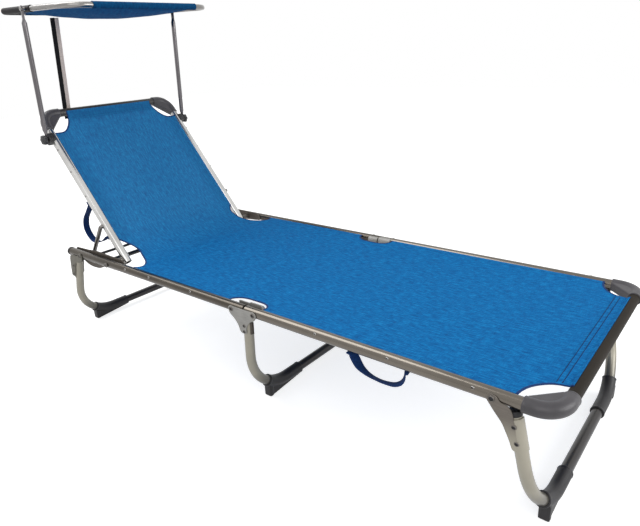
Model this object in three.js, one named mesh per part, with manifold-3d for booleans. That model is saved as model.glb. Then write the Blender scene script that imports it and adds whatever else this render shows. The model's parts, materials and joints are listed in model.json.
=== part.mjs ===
import * as THREE from 'three';
import { mergeVertices } from 'three/addons/utils/BufferGeometryUtils.js';
import Module from 'manifold-3d';

// A three-legged folding sun lounger with a tilting canopy. Lengths are millimetres:
// X runs across, Y from the foot bar to the head, Z up from the floor.

// Fits
const GAP = 0.3; // between pieces that touch, slide or turn in each other
const OVERRUN = 2; // how far a cutting tool runs past what it cuts

// Main tube
const TUBE_R = 12.5;
const TUBE_WALL = 1.2;

// Lying frame
const RAIL_X = 302; // rail axis from the middle plane
const RAIL_Z = 280.5; // rail axis above the floor
const HINGE_Y = 740; // middle hinge from the foot bar axis
const PIVOT_Y = 1334; // backrest pivot from the foot bar axis
const HINGE_SPREAD = 37; // hinge pins from the middle of the hinge
const RAIL_BUTT_GAP = 5; // between the two rail ends in the hinge
const RAIL_PAST_PIVOT = 222; // head end of the rails past the backrest pivot
const CAP_R = 13.4;
const CAP_LENGTH = 12;
const CAP_PLUG = 14; // part of a cap inside its tube

// Plastic corner elbows
const ELBOW_R = 15.2;
const ELBOW_BEND = 45; // bend radius of the elbow axis
const ELBOW_REACH = 62; // from the corner of the axes to each mouth
const SOCKET_DEPTH = 25;
const GUSSET_THICK = 22; // web that fills the inside of the corner

// Legs, each one U-shaped tube
const LEG_AXIS_Z = 25.2; // cross tube axis above the floor
const LEG_TOP_Z = 254; // open top of a leg
const LEG_BEND = 100;
const FOOT_LEG_TOP_Y = 74;
const FOOT_LEG_FLOOR_Y = 21;
const MID_LEG_TOP_BACK = 4; // top of the middle leg before the hinge
const MID_LEG_FLOOR_PAST = 8; // and its cross tube past the hinge
const HEAD_LEG_TOP_PAST = 191; // top of the head leg past the backrest pivot
const HEAD_LEG_FLOOR_PAST = 264; // and its cross tube
const FOOT_LEG_PIN_Y = 113; // fold pin of the foot leg, on the rail axis
const HEAD_LEG_PIN_PAST = 152; // fold pin of the head leg past the backrest pivot
const PLUG_RISE = 5; // leg plug above the tube's end

// Shoes under the legs
const SHOE_WALL = 2.7;
const SHOE_STEPS = 2; // steps of the leg's bend inside the shoe
const SHOE_INNER_X = 124;
const PAD_TOP = 8; // solid foot above the cross tube axis
const PAD_LENGTH = 36; // floor pad along X
const PAD_WIDTH = 27; // floor pad along Y

// Pressed brackets beside the rails
const PLATE_THICK = 2;
const BRACKET_HEIGHT = 96; // from the rail axis to the lowest tip
const FOOT_BRACKET_WIDTH = 60;
const HEAD_BRACKET_WIDTH = 80;
const MID_BRACKET_HEIGHT = 60;
const LEG_RIVET_FIRST = 17; // rivets on a leg, measured down from its top
const LEG_RIVET_SECOND = 50;
const MID_RIVET_FIRST = 10;
const MID_RIVET_SECOND = 26;
const LEG_RIVETS = [LEG_RIVET_FIRST, LEG_RIVET_SECOND];
const MID_RIVETS = [MID_RIVET_FIRST, MID_RIVET_SECOND];
const CHEEK_DROP = 17; // inner cheek of the middle bracket, below the rail axis
const CHEEK_RISE = 11; // and above it
const CHEEK_SHARE = 1.2; // half length of the cheek over the pin spread

// Rivets and pins
const PIN_R = 3.5;
const PIN_HEAD_R = 6.2;
const PIN_HEAD = 2.6;
const RIVET_R = 2.4;
const RIVET_HEAD_R = 4.6;
const RIVET_HEAD = 1.8;

// Fabric lying surfaces
const SLING_THICK = 1.6;
const SLING_RISE = 8; // above the axis of the tubes that hold it
const SLING_SAG = 11;
const CORNER_CUT = 80; // radius of the cut-out round an elbow
const HINGE_CUT_X = 261; // half width left beside the middle hinge
const HINGE_CUT = 52; // half length of that cut-out
const NECK_X = 197; // half width left at the backrest pivot
const NECK_START = 129; // where that cut-out starts, before the pivot
const NECK_END = 64; // where it ends, up the backrest
const SLING_PIVOT_GAP = 17; // seat fabric ends this far before the pivot
const BACK_SLING_START = 12; // backrest fabric starts this far up the backrest

// Backrest
const BACK_X = 246.5; // backrest tube axis
const BACK_LENGTH = 553; // pivot to top bar axis
const BACK_TAIL = 15; // tube below the pivot
const BACK_ANGLE = 50.3; // degrees above level
const PIVOT_BOLT_R = 4;
const PIVOT_BUSH_R = 8;
const PIVOT_HEAD_R = 7.5;
const PIVOT_HEAD = 4;

// Prop that holds the backrest, its rack and the brace
const PROP_R = 4.5;
const PROP_PIN = 125; // pivot to prop pin, up the backrest
const PROP_LENGTH = 144; // prop pin to cross bar axis
const PROP_BAR_Z = 261.5; // height at which the bar slides
const PROP_BEND = 12;
const PROP_SIDE_GAP = 1.5; // between prop and backrest tube
const PROP_PLAY = 0.9; // between bar and ledge, as the bar's path isn't quite level
const RACK_PLATE = 3;
const RACK_LEDGE = 12; // width of the ledge that the bar rests on
const LEDGE_THICK = 3;
const RACK_BEFORE = 66; // rack before the backrest pivot
const RACK_PAST = 218; // and past it
const RACK_TOP = 20; // above the rail axis
const RACK_DROP = 41; // below the rail axis
const BRACE_R = 6;
const BRACE_WALL = 1;
const BRACE_PAST = 108.5; // brace past the backrest pivot
const BRACE_Z = 249.5;

// Canopy arms and their clamps
const ARM_R = 7.5;
const ARM_X = 270.5;
const ARM_LENGTH = 381; // between the two bolt axes
const ARM_ANGLE = 93.7; // degrees from level, leaning to the foot
const ARM_DOWN = 91.6; // clamp below the top bar axis
const ARM_FLAT = 4; // thickness of the flattened ends
const ARM_FLAT_LENGTH = 26;
const ARM_TAPER = 13; // from flat to round
const ARM_TIP = 9; // past each bolt axis
const CLAMP_LENGTH = 27;
const CLAMP_HALF = 16.5;
const CLAMP_HOLE = 7;
const BOLT_R = 3;
const BOLT_HEAD_R = 6.5;
const BOLT_HEAD = 3.4;
const SPACER_R = 5.5;
const KNOB_R = 16;
const KNOB_GROOVE = 2.2; // depth of the grooves between the lobes
const KNOB_LOBES = 6;
const KNOB_THICK = 13;

// Canopy ring and cloth
const RING_R = 8;
const RING_WALL = 1;
const RING_BEND = 70;
const RING_ELBOW_R = 9.6;
const RING_ELBOW_BEND = 35;
const RING_PLAY = 0.8; // between ring elbow and arm, when they fold side by side
const FRONT_BAR_AHEAD = 231; // bolt axis to front bar axis
const REAR_BAR_BACK = 180; // bolt axis to rear bar axis
const RING_TILT = 1.5; // degrees, front edge low
const RING_MOUTH = 22; // elbow mouth past the bolt axis
const RING_SOCKET = 36;
const RING_GUSSET = 13;
const CLOTH_THICK = 1.6;
const CLOTH_SAG = 26;
const CLOTH_CUT = 78;

// Webbing
const WEB_WIDTH = 25;
const WEB_THICK = 2;
const WEB_BEND = 9;
const FOOT_HANDLE_Y = 361; // middle of the handle under the rail
const FOOT_HANDLE_LENGTH = 146;
const FOOT_HANDLE_DROP = 47;
const HEAD_HANDLE_AT = 153; // middle of the handle, up the backrest
const HEAD_HANDLE_LENGTH = 112;
const HEAD_HANDLE_DROP = 100;
const TIE_WIDTH = 27;
const TIE_THICK = 1.6;
const TIE_TOP_X = -175;
const TIE_BOTTOM_X = -146;
const TIE_TOP_DROP = 22.8; // strap top below the canopy bolt axis
const TIE_HOOK = 22; // strap past the top bar axis, behind the backrest

// Facets
const TUBE_SIDES = 12;
const SMALL_SIDES = 8;
const BEND_STEPS = 4;
const LEG_STEPS = 6;

const wasm = await Module();
wasm.setup();

const DEGREE = Math.PI / 180;
const at = (x, y, z) => new THREE.Vector3(x, y, z);

function evenly(from, to, count) {
  return Array.from({ length: count + 1 }, (_, i) => from + ((to - from) * i) / count);
}

// Solids

function toSolid(geometry) {
  const bare = geometry.clone();
  bare.deleteAttribute('normal');
  bare.deleteAttribute('uv');
  const merged = mergeVertices(bare, GAP * 1e-3);
  return new wasm.Manifold(new wasm.Mesh({
    numProp: 3,
    vertProperties: new Float32Array(merged.attributes.position.array),
    triVerts: new Uint32Array(merged.index.array),
  }));
}

function toGeometry(solid) {
  const mesh = solid.getMesh();
  const geometry = new THREE.BufferGeometry();
  geometry.setAttribute('position', new THREE.BufferAttribute(mesh.vertProperties.slice(), 3));
  geometry.setIndex(new THREE.BufferAttribute(mesh.triVerts.slice(), 1));
  return geometry;
}

const join = (first, ...others) =>
  toGeometry(others.reduce((solid, other) => solid.add(toSolid(other)), toSolid(first)));

const cut = (first, ...tools) =>
  toGeometry(tools.reduce((solid, tool) => solid.subtract(toSolid(tool)), toSolid(first)));

// A copy mirrored in X, Y or both, with its faces still pointing out.
function mirrored(geometry, signX, signY = 1) {
  const copy = mergeVertices(geometry.clone());
  copy.scale(signX, signY, 1);
  if (signX * signY < 0) {
    const order = copy.index.array;
    for (let i = 0; i < order.length; i += 3) {
      [order[i], order[i + 1]] = [order[i + 1], order[i]];
    }
  }
  return copy;
}

// Paths and sections

// A path that visits exactly the stations it is given, each a place and a direction. A flat
// section stays level with the direction across, where one is given.
class StationPath extends THREE.Curve {
  constructor(stations, across) {
    super();
    this.stations = stations;
    this.across = across;
  }
  computeFrenetFrames(segments, closed) {
    if (!this.across) {
      return super.computeFrenetFrames(segments, closed);
    }
    const tangents = evenly(0, 1, segments).map((t) => this.getTangent(t));
    const binormals = tangents.map((tangent) => tangent.clone().cross(this.across).normalize());
    const normals = binormals.map((binormal, i) => binormal.clone().cross(tangents[i]));
    return { tangents, normals, binormals };
  }
  pick(t, key) {
    const spot = t * (this.stations.length - 1);
    const low = Math.min(Math.floor(spot + 1e-9), this.stations.length - 1);
    const high = Math.min(low + 1, this.stations.length - 1);
    return this.stations[low][key].clone().lerp(this.stations[high][key], Math.max(spot - low, 0));
  }
  getPoint(t) {
    return this.pick(t, 'place');
  }
  getTangent(t) {
    return this.pick(t, 'along').normalize();
  }
  getUtoTmapping(u) {
    return u;
  }
}

// Stations along straight runs joined by round bends.
function bentStations(points, radius, steps = BEND_STEPS) {
  const stations = [];
  const last = points.length - 1;
  stations.push({ place: points[0], along: points[1].clone().sub(points[0]).normalize() });
  for (let i = 1; i < last; i += 1) {
    const into = points[i].clone().sub(points[i - 1]).normalize();
    const out = points[i + 1].clone().sub(points[i]).normalize();
    const angle = into.angleTo(out);
    const inward = out.clone().addScaledVector(into, -into.dot(out)).normalize();
    const start = points[i].clone().addScaledVector(into, -radius * Math.tan(angle / 2));
    for (let k = 0; k <= steps; k += 1) {
      const turn = (angle * k) / steps;
      const place = start.clone().addScaledVector(into, radius * Math.sin(turn));
      place.addScaledVector(inward, radius * (1 - Math.cos(turn)));
      const along = into.clone().multiplyScalar(Math.cos(turn)).addScaledVector(inward, Math.sin(turn));
      stations.push({ place, along });
    }
  }
  stations.push({ place: points[last], along: points[last].clone().sub(points[last - 1]).normalize() });
  return stations;
}

function circlePoints(radius, sides) {
  const points = [];
  for (let i = 0; i < sides; i += 1) {
    const turn = (2 * Math.PI * i) / sides;
    points.push(new THREE.Vector2(radius * Math.cos(turn), radius * Math.sin(turn)));
  }
  return points;
}

function swept(stations, shape, across) {
  const path = new StationPath(stations, across);
  return new THREE.ExtrudeGeometry(shape, { steps: stations.length - 1, extrudePath: path });
}

const rodAlong = (stations, radius, sides = TUBE_SIDES) =>
  swept(stations, new THREE.Shape(circlePoints(radius, sides)));

function tubeAlong(stations, radius, wall, sides = TUBE_SIDES) {
  const shape = new THREE.Shape(circlePoints(radius, sides));
  shape.holes.push(new THREE.Path(circlePoints(radius - wall, sides)));
  return swept(stations, shape);
}

const straight = (from, to) => bentStations([from, to], 0);

// A round piece of one radius, and the hole that clears it by one gap on every facet.
const boreAlong = (stations, radius, sides = TUBE_SIDES) =>
  rodAlong(stations, (radius + GAP) / Math.cos(Math.PI / sides), sides);
const rodX = (fromX, toX, y, z, radius) =>
  rodAlong(straight(at(fromX, y, z), at(toX, y, z)), radius, SMALL_SIDES);
const holeX = (fromX, toX, y, z, radius) =>
  boreAlong(straight(at(fromX, y, z), at(toX, y, z)), radius, SMALL_SIDES);

// A profile of [radius, distance] pairs turned about the X axis, pointing away on one side.
function turnedX(profile, side, y, z, sides = SMALL_SIDES) {
  const points = profile.map(([radius, distance]) => new THREE.Vector2(radius, distance));
  const geometry = new THREE.LatheGeometry(points, sides);
  geometry.rotateZ(-Math.PI / 2);
  const placed = mirrored(geometry, side);
  placed.translate(0, y, z);
  return placed;
}

// A flat plate from an outline in Y and Z, between two distances from the middle plane.
function plateX(outline, nearX, farX, side) {
  const shape = new THREE.Shape(outline.map(([y, z]) => new THREE.Vector2(y, z)));
  const geometry = new THREE.ExtrudeGeometry(shape, { depth: farX - nearX, bevelEnabled: false });
  geometry.applyMatrix4(new THREE.Matrix4().makeBasis(at(0, 1, 0), at(0, 0, 1), at(1, 0, 0)));
  geometry.translate(nearX, 0, 0);
  return mirrored(geometry, side);
}

function blockBetween(low, high) {
  const size = high.clone().sub(low);
  const geometry = new THREE.BoxGeometry(size.x, size.y, size.z);
  geometry.translate((low.x + high.x) / 2, (low.y + high.y) / 2, (low.z + high.z) / 2);
  return geometry;
}

// Materials

const paint = (color, roughness, metalness) =>
  new THREE.MeshStandardMaterial({ color, roughness, metalness });
const railMetal = paint(0xa7a296, 0.35, 0.9);
const legMetal = paint(0x9a968c, 0.42, 0.8);
const bracketMetal = paint(0x8f8c86, 0.45, 0.8);
const rivetMetal = paint(0x6c6a68, 0.4, 0.9);
const elbowPlastic = paint(0x55545a, 0.45, 0);
const shoePlastic = paint(0x3a3a40, 0.55, 0);
const blackPlastic = paint(0x1c1c1e, 0.6, 0);
const rackPlastic = paint(0x5a554c, 0.5, 0.3);
const slingBlue = paint(0x1f70b5, 0.85, 0);
const clothBlue = paint(0x1d5f9e, 0.85, 0);
const webBlue = paint(0x14427e, 0.8, 0);
const webBlack = paint(0x17171a, 0.8, 0);

const lounger = new THREE.Group();

function add(group, name, geometry, material) {
  const mesh = new THREE.Mesh(geometry, material);
  mesh.name = name;
  group.add(mesh);
  return mesh;
}

function subGroup(parent, place, angle = 0) {
  const group = new THREE.Group();
  group.position.copy(place);
  group.rotation.x = angle;
  parent.add(group);
  return group;
}

const SIDES = [['left', -1], ['right', 1]];

// Rivets and pins
// A pin runs through a rail from just inside it to its head outside the bracket.
const railInner = RAIL_X - TUBE_R;
const railOuter = RAIL_X + TUBE_R;
const plateInner = railOuter + GAP;
const plateOuter = plateInner + PLATE_THICK;
const headSeat = plateOuter + GAP;

function domedPin(radius, headRadius, head, fromX, seatX, side, y, z) {
  const crown = head / 2;
  return turnedX([
    [0, fromX],
    [radius, fromX],
    [radius, seatX],
    [headRadius, seatX],
    [headRadius, seatX + crown],
    [(headRadius + radius) / 2, seatX + head],
    [0, seatX + head],
  ], side, y, z);
}

const foldPin = (side, y) => domedPin(PIN_R, PIN_HEAD_R, PIN_HEAD, railInner + GAP, headSeat, side, y, RAIL_Z);
const pinHole = (side, y, z = RAIL_Z) =>
  holeX(side * (railInner - OVERRUN), side * (headSeat + OVERRUN), y, z, PIN_R);

// Rivets and pins that are clinched in a bracket start halfway through its plate.
const clinch = plateOuter - PLATE_THICK / 2;
const legRivet = (side, y, z) =>
  domedPin(RIVET_R, RIVET_HEAD_R, RIVET_HEAD, railOuter - 2 * TUBE_WALL, clinch, side, y, z);
const rivetHole = (side, y, z) =>
  holeX(side * RAIL_X, side * (railOuter + OVERRUN), y, z, RIVET_R);

// Lying frame, foot half and head half

const railHeadY = PIVOT_Y + RAIL_PAST_PIVOT;
const rackStartY = PIVOT_Y - RACK_BEFORE;
const rackEndY = PIVOT_Y + RACK_PAST;
const braceY = PIVOT_Y + BRACE_PAST;
const headPinY = PIVOT_Y + HEAD_LEG_PIN_PAST;
const midLegTopY = HINGE_Y - MID_LEG_TOP_BACK;
const midLegFloorY = HINGE_Y + MID_LEG_FLOOR_PAST;
const headLegTopY = PIVOT_Y + HEAD_LEG_TOP_PAST;
const headLegFloorY = PIVOT_Y + HEAD_LEG_FLOOR_PAST;
const headFrame = subGroup(lounger, at(0, 0, 0));
const footFrame = subGroup(lounger, at(0, 0, 0));
const footHingeY = HINGE_Y - HINGE_SPREAD;
const headHingeY = HINGE_Y + HINGE_SPREAD;
const footButtY = HINGE_Y - RAIL_BUTT_GAP / 2;
const headButtY = HINGE_Y + RAIL_BUTT_GAP / 2;
const mouthY = ELBOW_REACH - SOCKET_DEPTH + GAP; // where a tube ends inside an elbow

function footRail(side) {
  const rail = tubeAlong(straight(at(side * RAIL_X, mouthY, RAIL_Z), at(side * RAIL_X, footButtY, RAIL_Z)),
    TUBE_R, TUBE_WALL);
  return cut(rail, pinHole(side, FOOT_LEG_PIN_Y), pinHole(side, footHingeY));
}

function pivotHole(side) {
  return holeX(side * (railInner - OVERRUN), side * (railOuter + OVERRUN), PIVOT_Y, RAIL_Z, PIVOT_BOLT_R);
}

function headRail(side) {
  const rail = tubeAlong(straight(at(side * RAIL_X, headButtY, RAIL_Z), at(side * RAIL_X, railHeadY, RAIL_Z)),
    TUBE_R, TUBE_WALL);
  return cut(rail, pinHole(side, headHingeY), pinHole(side, headPinY), pivotHole(side));
}

function railCap(side) {
  const plugR = TUBE_R - TUBE_WALL - GAP;
  const profile = [
    [0, -CAP_PLUG],
    [plugR, -CAP_PLUG],
    [plugR, GAP],
    [CAP_R, GAP],
    [CAP_R, CAP_LENGTH / 2],
    [CAP_R * 0.72, CAP_LENGTH],
    [0, CAP_LENGTH],
  ];
  const geometry = new THREE.LatheGeometry(profile.map(([r, y]) => new THREE.Vector2(r, y)), TUBE_SIDES);
  geometry.translate(side * RAIL_X, railHeadY, RAIL_Z);
  return geometry;
}

// An elbow with its corner at the origin, one arm along +Y and one along +X.
function elbow(radius, tubeRadius, bend, reachY, reachX, socketY, socketX, gusset, sides) {
  const body = rodAlong(bentStations([at(0, reachY, 0), at(0, 0, 0), at(reachX, 0, 0)], bend), radius, sides);
  const web = new THREE.Shape([
    new THREE.Vector2(0, bend / 3),
    new THREE.Vector2(bend / 3, 0),
    new THREE.Vector2(Math.min(reachX, reachY), 0),
    new THREE.Vector2(Math.min(reachX, reachY), radius),
    new THREE.Vector2(radius, Math.min(reachX, reachY)),
    new THREE.Vector2(0, Math.min(reachX, reachY)),
  ]);
  const fill = new THREE.ExtrudeGeometry(web, { depth: gusset, bevelEnabled: false });
  fill.translate(0, 0, -gusset / 2);
  const boreY = boreAlong(straight(at(0, reachY - socketY, 0), at(0, reachY + OVERRUN, 0)), tubeRadius, sides);
  const boreX = boreAlong(straight(at(reachX - socketX, 0, 0), at(reachX + OVERRUN, 0, 0)), tubeRadius, sides);
  return cut(join(body, fill), boreY, boreX);
}

const frameElbow = elbow(ELBOW_R, TUBE_R, ELBOW_BEND, ELBOW_REACH, ELBOW_REACH,
  SOCKET_DEPTH, SOCKET_DEPTH, GUSSET_THICK, TUBE_SIDES);

for (const [name, side] of SIDES) {
  add(headFrame, `head_rail_${name}`, headRail(side), railMetal);
  add(headFrame, `head_rail_cap_${name}`, railCap(side), blackPlastic);
  add(headFrame, `head_leg_pin_${name}`, foldPin(side, headPinY), rivetMetal);
  add(footFrame, `foot_rail_${name}`, footRail(side), railMetal);
  add(footFrame, `foot_leg_pin_${name}`, foldPin(side, FOOT_LEG_PIN_Y), rivetMetal);
  const corner = add(footFrame, `foot_elbow_${name}`, mirrored(frameElbow, -side), elbowPlastic);
  corner.position.set(side * RAIL_X, 0, RAIL_Z);
}
const footBarX = RAIL_X - mouthY;
add(footFrame, 'foot_bar', tubeAlong(straight(at(-footBarX, 0, RAIL_Z), at(footBarX, 0, RAIL_Z)), TUBE_R, TUBE_WALL),
  railMetal);

// Legs

function legLean(topY, floorY) {
  return Math.atan2(floorY - topY, LEG_TOP_Z - LEG_AXIS_Z);
}

function legLength(topY, floorY) {
  return Math.hypot(floorY - topY, LEG_TOP_Z - LEG_AXIS_Z);
}

// From a leg's own frame, upright with its cross tube axis at the origin, to its place.
function legMatrix(topY, floorY) {
  const turn = new THREE.Matrix4().makeRotationX(legLean(topY, floorY));
  return turn.setPosition(0, floorY, LEG_AXIS_Z);
}

// A place on a leg's axis, a given way down from its top.
function legPlace(topY, floorY, down) {
  const share = down / legLength(topY, floorY);
  return { y: topY + share * (floorY - topY), z: LEG_TOP_Z - share * (LEG_TOP_Z - LEG_AXIS_Z) };
}

function legTube(topY, floorY, rivets) {
  const length = legLength(topY, floorY);
  const corners = [at(-RAIL_X, 0, length), at(-RAIL_X, 0, 0), at(RAIL_X, 0, 0), at(RAIL_X, 0, length)];
  const tube = tubeAlong(bentStations(corners, LEG_BEND, LEG_STEPS), TUBE_R, TUBE_WALL);
  tube.applyMatrix4(legMatrix(topY, floorY));
  const holes = rivets.flatMap((down) => {
    const { y, z } = legPlace(topY, floorY, down);
    return SIDES.map(([, side]) => rivetHole(side, y, z));
  });
  return cut(tube, ...holes);
}

function legPlug(side, topY, floorY) {
  const plugR = TUBE_R - TUBE_WALL - GAP;
  const profile = [
    [0, -CAP_PLUG],
    [plugR, -CAP_PLUG],
    [plugR, GAP],
    [TUBE_R, GAP],
    [TUBE_R, PLUG_RISE / 2],
    [TUBE_R * 0.6, PLUG_RISE],
    [0, PLUG_RISE],
  ];
  const geometry = new THREE.LatheGeometry(profile.map(([r, y]) => new THREE.Vector2(r, y)), TUBE_SIDES);
  geometry.rotateX(Math.PI / 2);
  geometry.translate(side * RAIL_X, 0, legLength(topY, floorY));
  geometry.applyMatrix4(legMatrix(topY, floorY));
  return geometry;
}

// Stations along the cross tube, from the shoe's inner end round the start of the bend.
function shoeStations(side, extra) {
  const bendX = RAIL_X - LEG_BEND;
  const stations = [{ place: at(side * (SHOE_INNER_X - extra), 0, 0), along: at(side, 0, 0) }];
  for (let i = 0; i <= SHOE_STEPS; i += 1) {
    const turn = (Math.PI * i) / (2 * LEG_STEPS);
    const place = at(side * (bendX + LEG_BEND * Math.sin(turn)), 0, LEG_BEND * (1 - Math.cos(turn)));
    stations.push({ place, along: at(side * Math.cos(turn), 0, Math.sin(turn)) });
  }
  const { place, along } = stations[stations.length - 1];
  if (extra > 0) {
    stations.push({ place: place.clone().addScaledVector(along, extra), along });
  }
  return stations;
}

function shoe(side, topY, floorY) {
  const sleeve = rodAlong(shoeStations(side, 0), TUBE_R + GAP + SHOE_WALL);
  const bore = boreAlong(shoeStations(side, OVERRUN), TUBE_R);
  sleeve.applyMatrix4(legMatrix(topY, floorY));
  bore.applyMatrix4(legMatrix(topY, floorY));
  const outerX = RAIL_X - LEG_BEND + LEG_BEND * Math.sin((Math.PI * SHOE_STEPS) / (2 * LEG_STEPS)) - SHOE_WALL;
  const nearX = outerX - PAD_LENGTH;
  const pad = blockBetween(
    at(Math.min(side * nearX, side * outerX), floorY - PAD_WIDTH / 2, 0),
    at(Math.max(side * nearX, side * outerX), floorY + PAD_WIDTH / 2, LEG_AXIS_Z + PAD_TOP),
  );
  return cut(join(sleeve, pad), bore);
}

// Bracket outlines as shares of the bracket's width from its pin and of its height from the rail
// axis, going round from the top of the pin.
const FOOT_BRACKET_SHARES = [
  [0, 0.095], [0.14, 0.08], [0.18, -0.03], [-0.1, -0.26], [-0.36, -0.45], [-0.6, -0.76], [-0.72, -0.96],
  [-0.98, -0.94], [-1, -0.76], [-0.9, -0.42], [-0.82, -0.16], [-0.55, -0.055], [-0.24, -0.03], [-0.16, 0.06],
];
const HEAD_BRACKET_SHARES = [
  [0, 0.095], [-0.11, 0.07], [-0.15, -0.04], [-0.06, -0.3], [0.16, -0.62], [0.4, -0.86], [0.62, -0.98],
  [0.98, -0.94], [1.06, -0.85], [0.86, -0.16], [0.42, -0.06], [0.18, -0.03], [0.1, 0.07],
];
// Middle bracket, from the middle of the hinge, in shares of the pin spread and its own height.
const MID_BRACKET_SHARES = [
  [1.2, 0.12], [1.32, 0], [1.24, -0.2], [0.66, -0.46], [0.38, -0.68], [0.26, -0.98],
  [-0.34, -0.98], [-0.42, -0.6], [-0.66, -0.38], [-1.16, -0.2], [-1.28, 0], [-1.16, 0.12],
];

function bracketOutline(shares, pinY, width, height) {
  return shares.map(([across, up]) => [pinY + across * width, RAIL_Z + up * height]);
}

const clinchedRivets = (side, topY, floorY, rivets) => rivets.map((down) => {
  const { y, z } = legPlace(topY, floorY, down);
  return legRivet(side, y, z);
});

function sidePlate(shares, side, pinY, width, topY, floorY) {
  const plate = plateX(bracketOutline(shares, pinY, width, BRACKET_HEIGHT), plateInner, plateOuter, side);
  return join(cut(plate, pinHole(side, pinY)), ...clinchedRivets(side, topY, floorY, LEG_RIVETS));
}

// The middle bracket is a channel: outer plate, web under the rail ends, inner cheek and two pins.
function midBracket(side) {
  const cheekOuter = railInner - GAP;
  const cheekInner = cheekOuter - PLATE_THICK;
  const outer = plateX(bracketOutline(MID_BRACKET_SHARES, HINGE_Y, HINGE_SPREAD, MID_BRACKET_HEIGHT),
    plateInner, plateOuter, side);
  const cheekHalf = HINGE_SPREAD * CHEEK_SHARE;
  const cheek = plateX([
    [HINGE_Y - cheekHalf, RAIL_Z + CHEEK_RISE],
    [HINGE_Y - cheekHalf, RAIL_Z],
    [HINGE_Y - HINGE_SPREAD / 2, RAIL_Z - CHEEK_DROP],
    [HINGE_Y + HINGE_SPREAD / 2, RAIL_Z - CHEEK_DROP],
    [HINGE_Y + cheekHalf, RAIL_Z],
    [HINGE_Y + cheekHalf, RAIL_Z + CHEEK_RISE],
  ], cheekInner, cheekOuter, side);
  const webLow = RAIL_Z - CHEEK_DROP;
  const webTop = webLow + PLATE_THICK;
  const web = plateX([
    [HINGE_Y - HINGE_SPREAD / 2, webLow],
    [HINGE_Y + HINGE_SPREAD / 2, webLow],
    [HINGE_Y + HINGE_SPREAD / 2, webTop],
    [HINGE_Y - HINGE_SPREAD / 2, webTop],
  ], cheekInner, plateOuter, side);
  const pins = [footHingeY, headHingeY].map((y) =>
    domedPin(PIN_R, PIN_HEAD_R, PIN_HEAD, cheekInner, clinch, side, y, RAIL_Z));
  return join(outer, cheek, web, ...pins, ...clinchedRivets(side, midLegTopY, midLegFloorY, MID_RIVETS));
}

function addLeg(name, topY, floorY, rivets, bracket) {
  const leg = subGroup(lounger, at(0, 0, 0));
  add(leg, `${name}_leg_tube`, legTube(topY, floorY, rivets), legMetal);
  for (const [sideName, side] of SIDES) {
    add(leg, `${name}_bracket_${sideName}`, bracket(side), bracketMetal);
    add(leg, `${name}_shoe_${sideName}`, shoe(side, topY, floorY), shoePlastic);
  }
  return leg;
}

const footLeg = addLeg('foot', FOOT_LEG_TOP_Y, FOOT_LEG_FLOOR_Y, LEG_RIVETS, (side) =>
  sidePlate(FOOT_BRACKET_SHARES, side, FOOT_LEG_PIN_Y, FOOT_BRACKET_WIDTH, FOOT_LEG_TOP_Y, FOOT_LEG_FLOOR_Y));
addLeg('mid', midLegTopY, midLegFloorY, MID_RIVETS, midBracket);
addLeg('head', headLegTopY, headLegFloorY, LEG_RIVETS, (side) =>
  sidePlate(HEAD_BRACKET_SHARES, side, headPinY, HEAD_BRACKET_WIDTH, headLegTopY, headLegFloorY));
for (const [name, side] of SIDES) {
  add(footLeg, `foot_leg_plug_${name}`, legPlug(side, FOOT_LEG_TOP_Y, FOOT_LEG_FLOOR_Y), blackPlastic);
}

// Rack, brace and backrest pivots

const backAngle = BACK_ANGLE * DEGREE;
const rackOuter = railInner - GAP;
const rackInner = rackOuter - RACK_PLATE;
const ledgeInner = rackInner - RACK_LEDGE;
const ledgeTop = PROP_BAR_Z - PROP_R - PROP_PLAY;

// Rack outline in shares of its length and of its rise or lobe, round from the foot end.
const RACK_SHARES = [
  [0, -0.2], [0, 0.2], [0.08, 0.85], [0.3, 0.9], [0.55, 1], [0.75, 0.75], [1, 0.6], [1, -0.62], [0.83, -0.66],
  [0.76, -0.9], [0.66, -1], [0.52, -0.95], [0.43, -0.72], [0.2, -0.62], [0.08, -0.5],
];

function rack(side) {
  const length = rackEndY - rackStartY;
  const outline = RACK_SHARES.map(([along, up]) =>
    [rackStartY + along * length, RAIL_Z + up * (up > 0 ? RACK_TOP : RACK_DROP)]);
  const plate = plateX(outline, rackInner, rackOuter, side);
  const ledgeEnd = rackEndY - GAP;
  const ledge = plateX([
    [PIVOT_Y, ledgeTop - LEDGE_THICK],
    [ledgeEnd, ledgeTop - LEDGE_THICK],
    [ledgeEnd, ledgeTop],
    [PIVOT_Y, ledgeTop],
  ], ledgeInner, rackOuter - GAP, side);
  const braceHole = holeX(side * (ledgeInner - OVERRUN), side * railInner, braceY, BRACE_Z, BRACE_R);
  const boltHole = holeX(side * (ledgeInner - OVERRUN), side * railInner, PIVOT_Y, RAIL_Z, PIVOT_BOLT_R);
  return cut(join(plate, ledge), braceHole, boltHole);
}

// Backrest pivot: head outside the rail, shank through rail, rack and bush, end in the backrest tube.
function pivotBolt(side) {
  const seat = railOuter + GAP;
  const bushFar = rackInner - GAP;
  const bushNear = BACK_X + TUBE_R + GAP;
  return turnedX([
    [0, BACK_X],
    [PIVOT_BOLT_R, BACK_X],
    [PIVOT_BOLT_R, bushNear],
    [PIVOT_BUSH_R, bushNear],
    [PIVOT_BUSH_R, bushFar],
    [PIVOT_BOLT_R, bushFar],
    [PIVOT_BOLT_R, seat],
    [PIVOT_HEAD_R, seat],
    [PIVOT_HEAD_R, seat + PIVOT_HEAD / 2],
    [(PIVOT_HEAD_R + PIVOT_BOLT_R) / 2, seat + PIVOT_HEAD],
    [0, seat + PIVOT_HEAD],
  ], side, PIVOT_Y, RAIL_Z);
}

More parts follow.
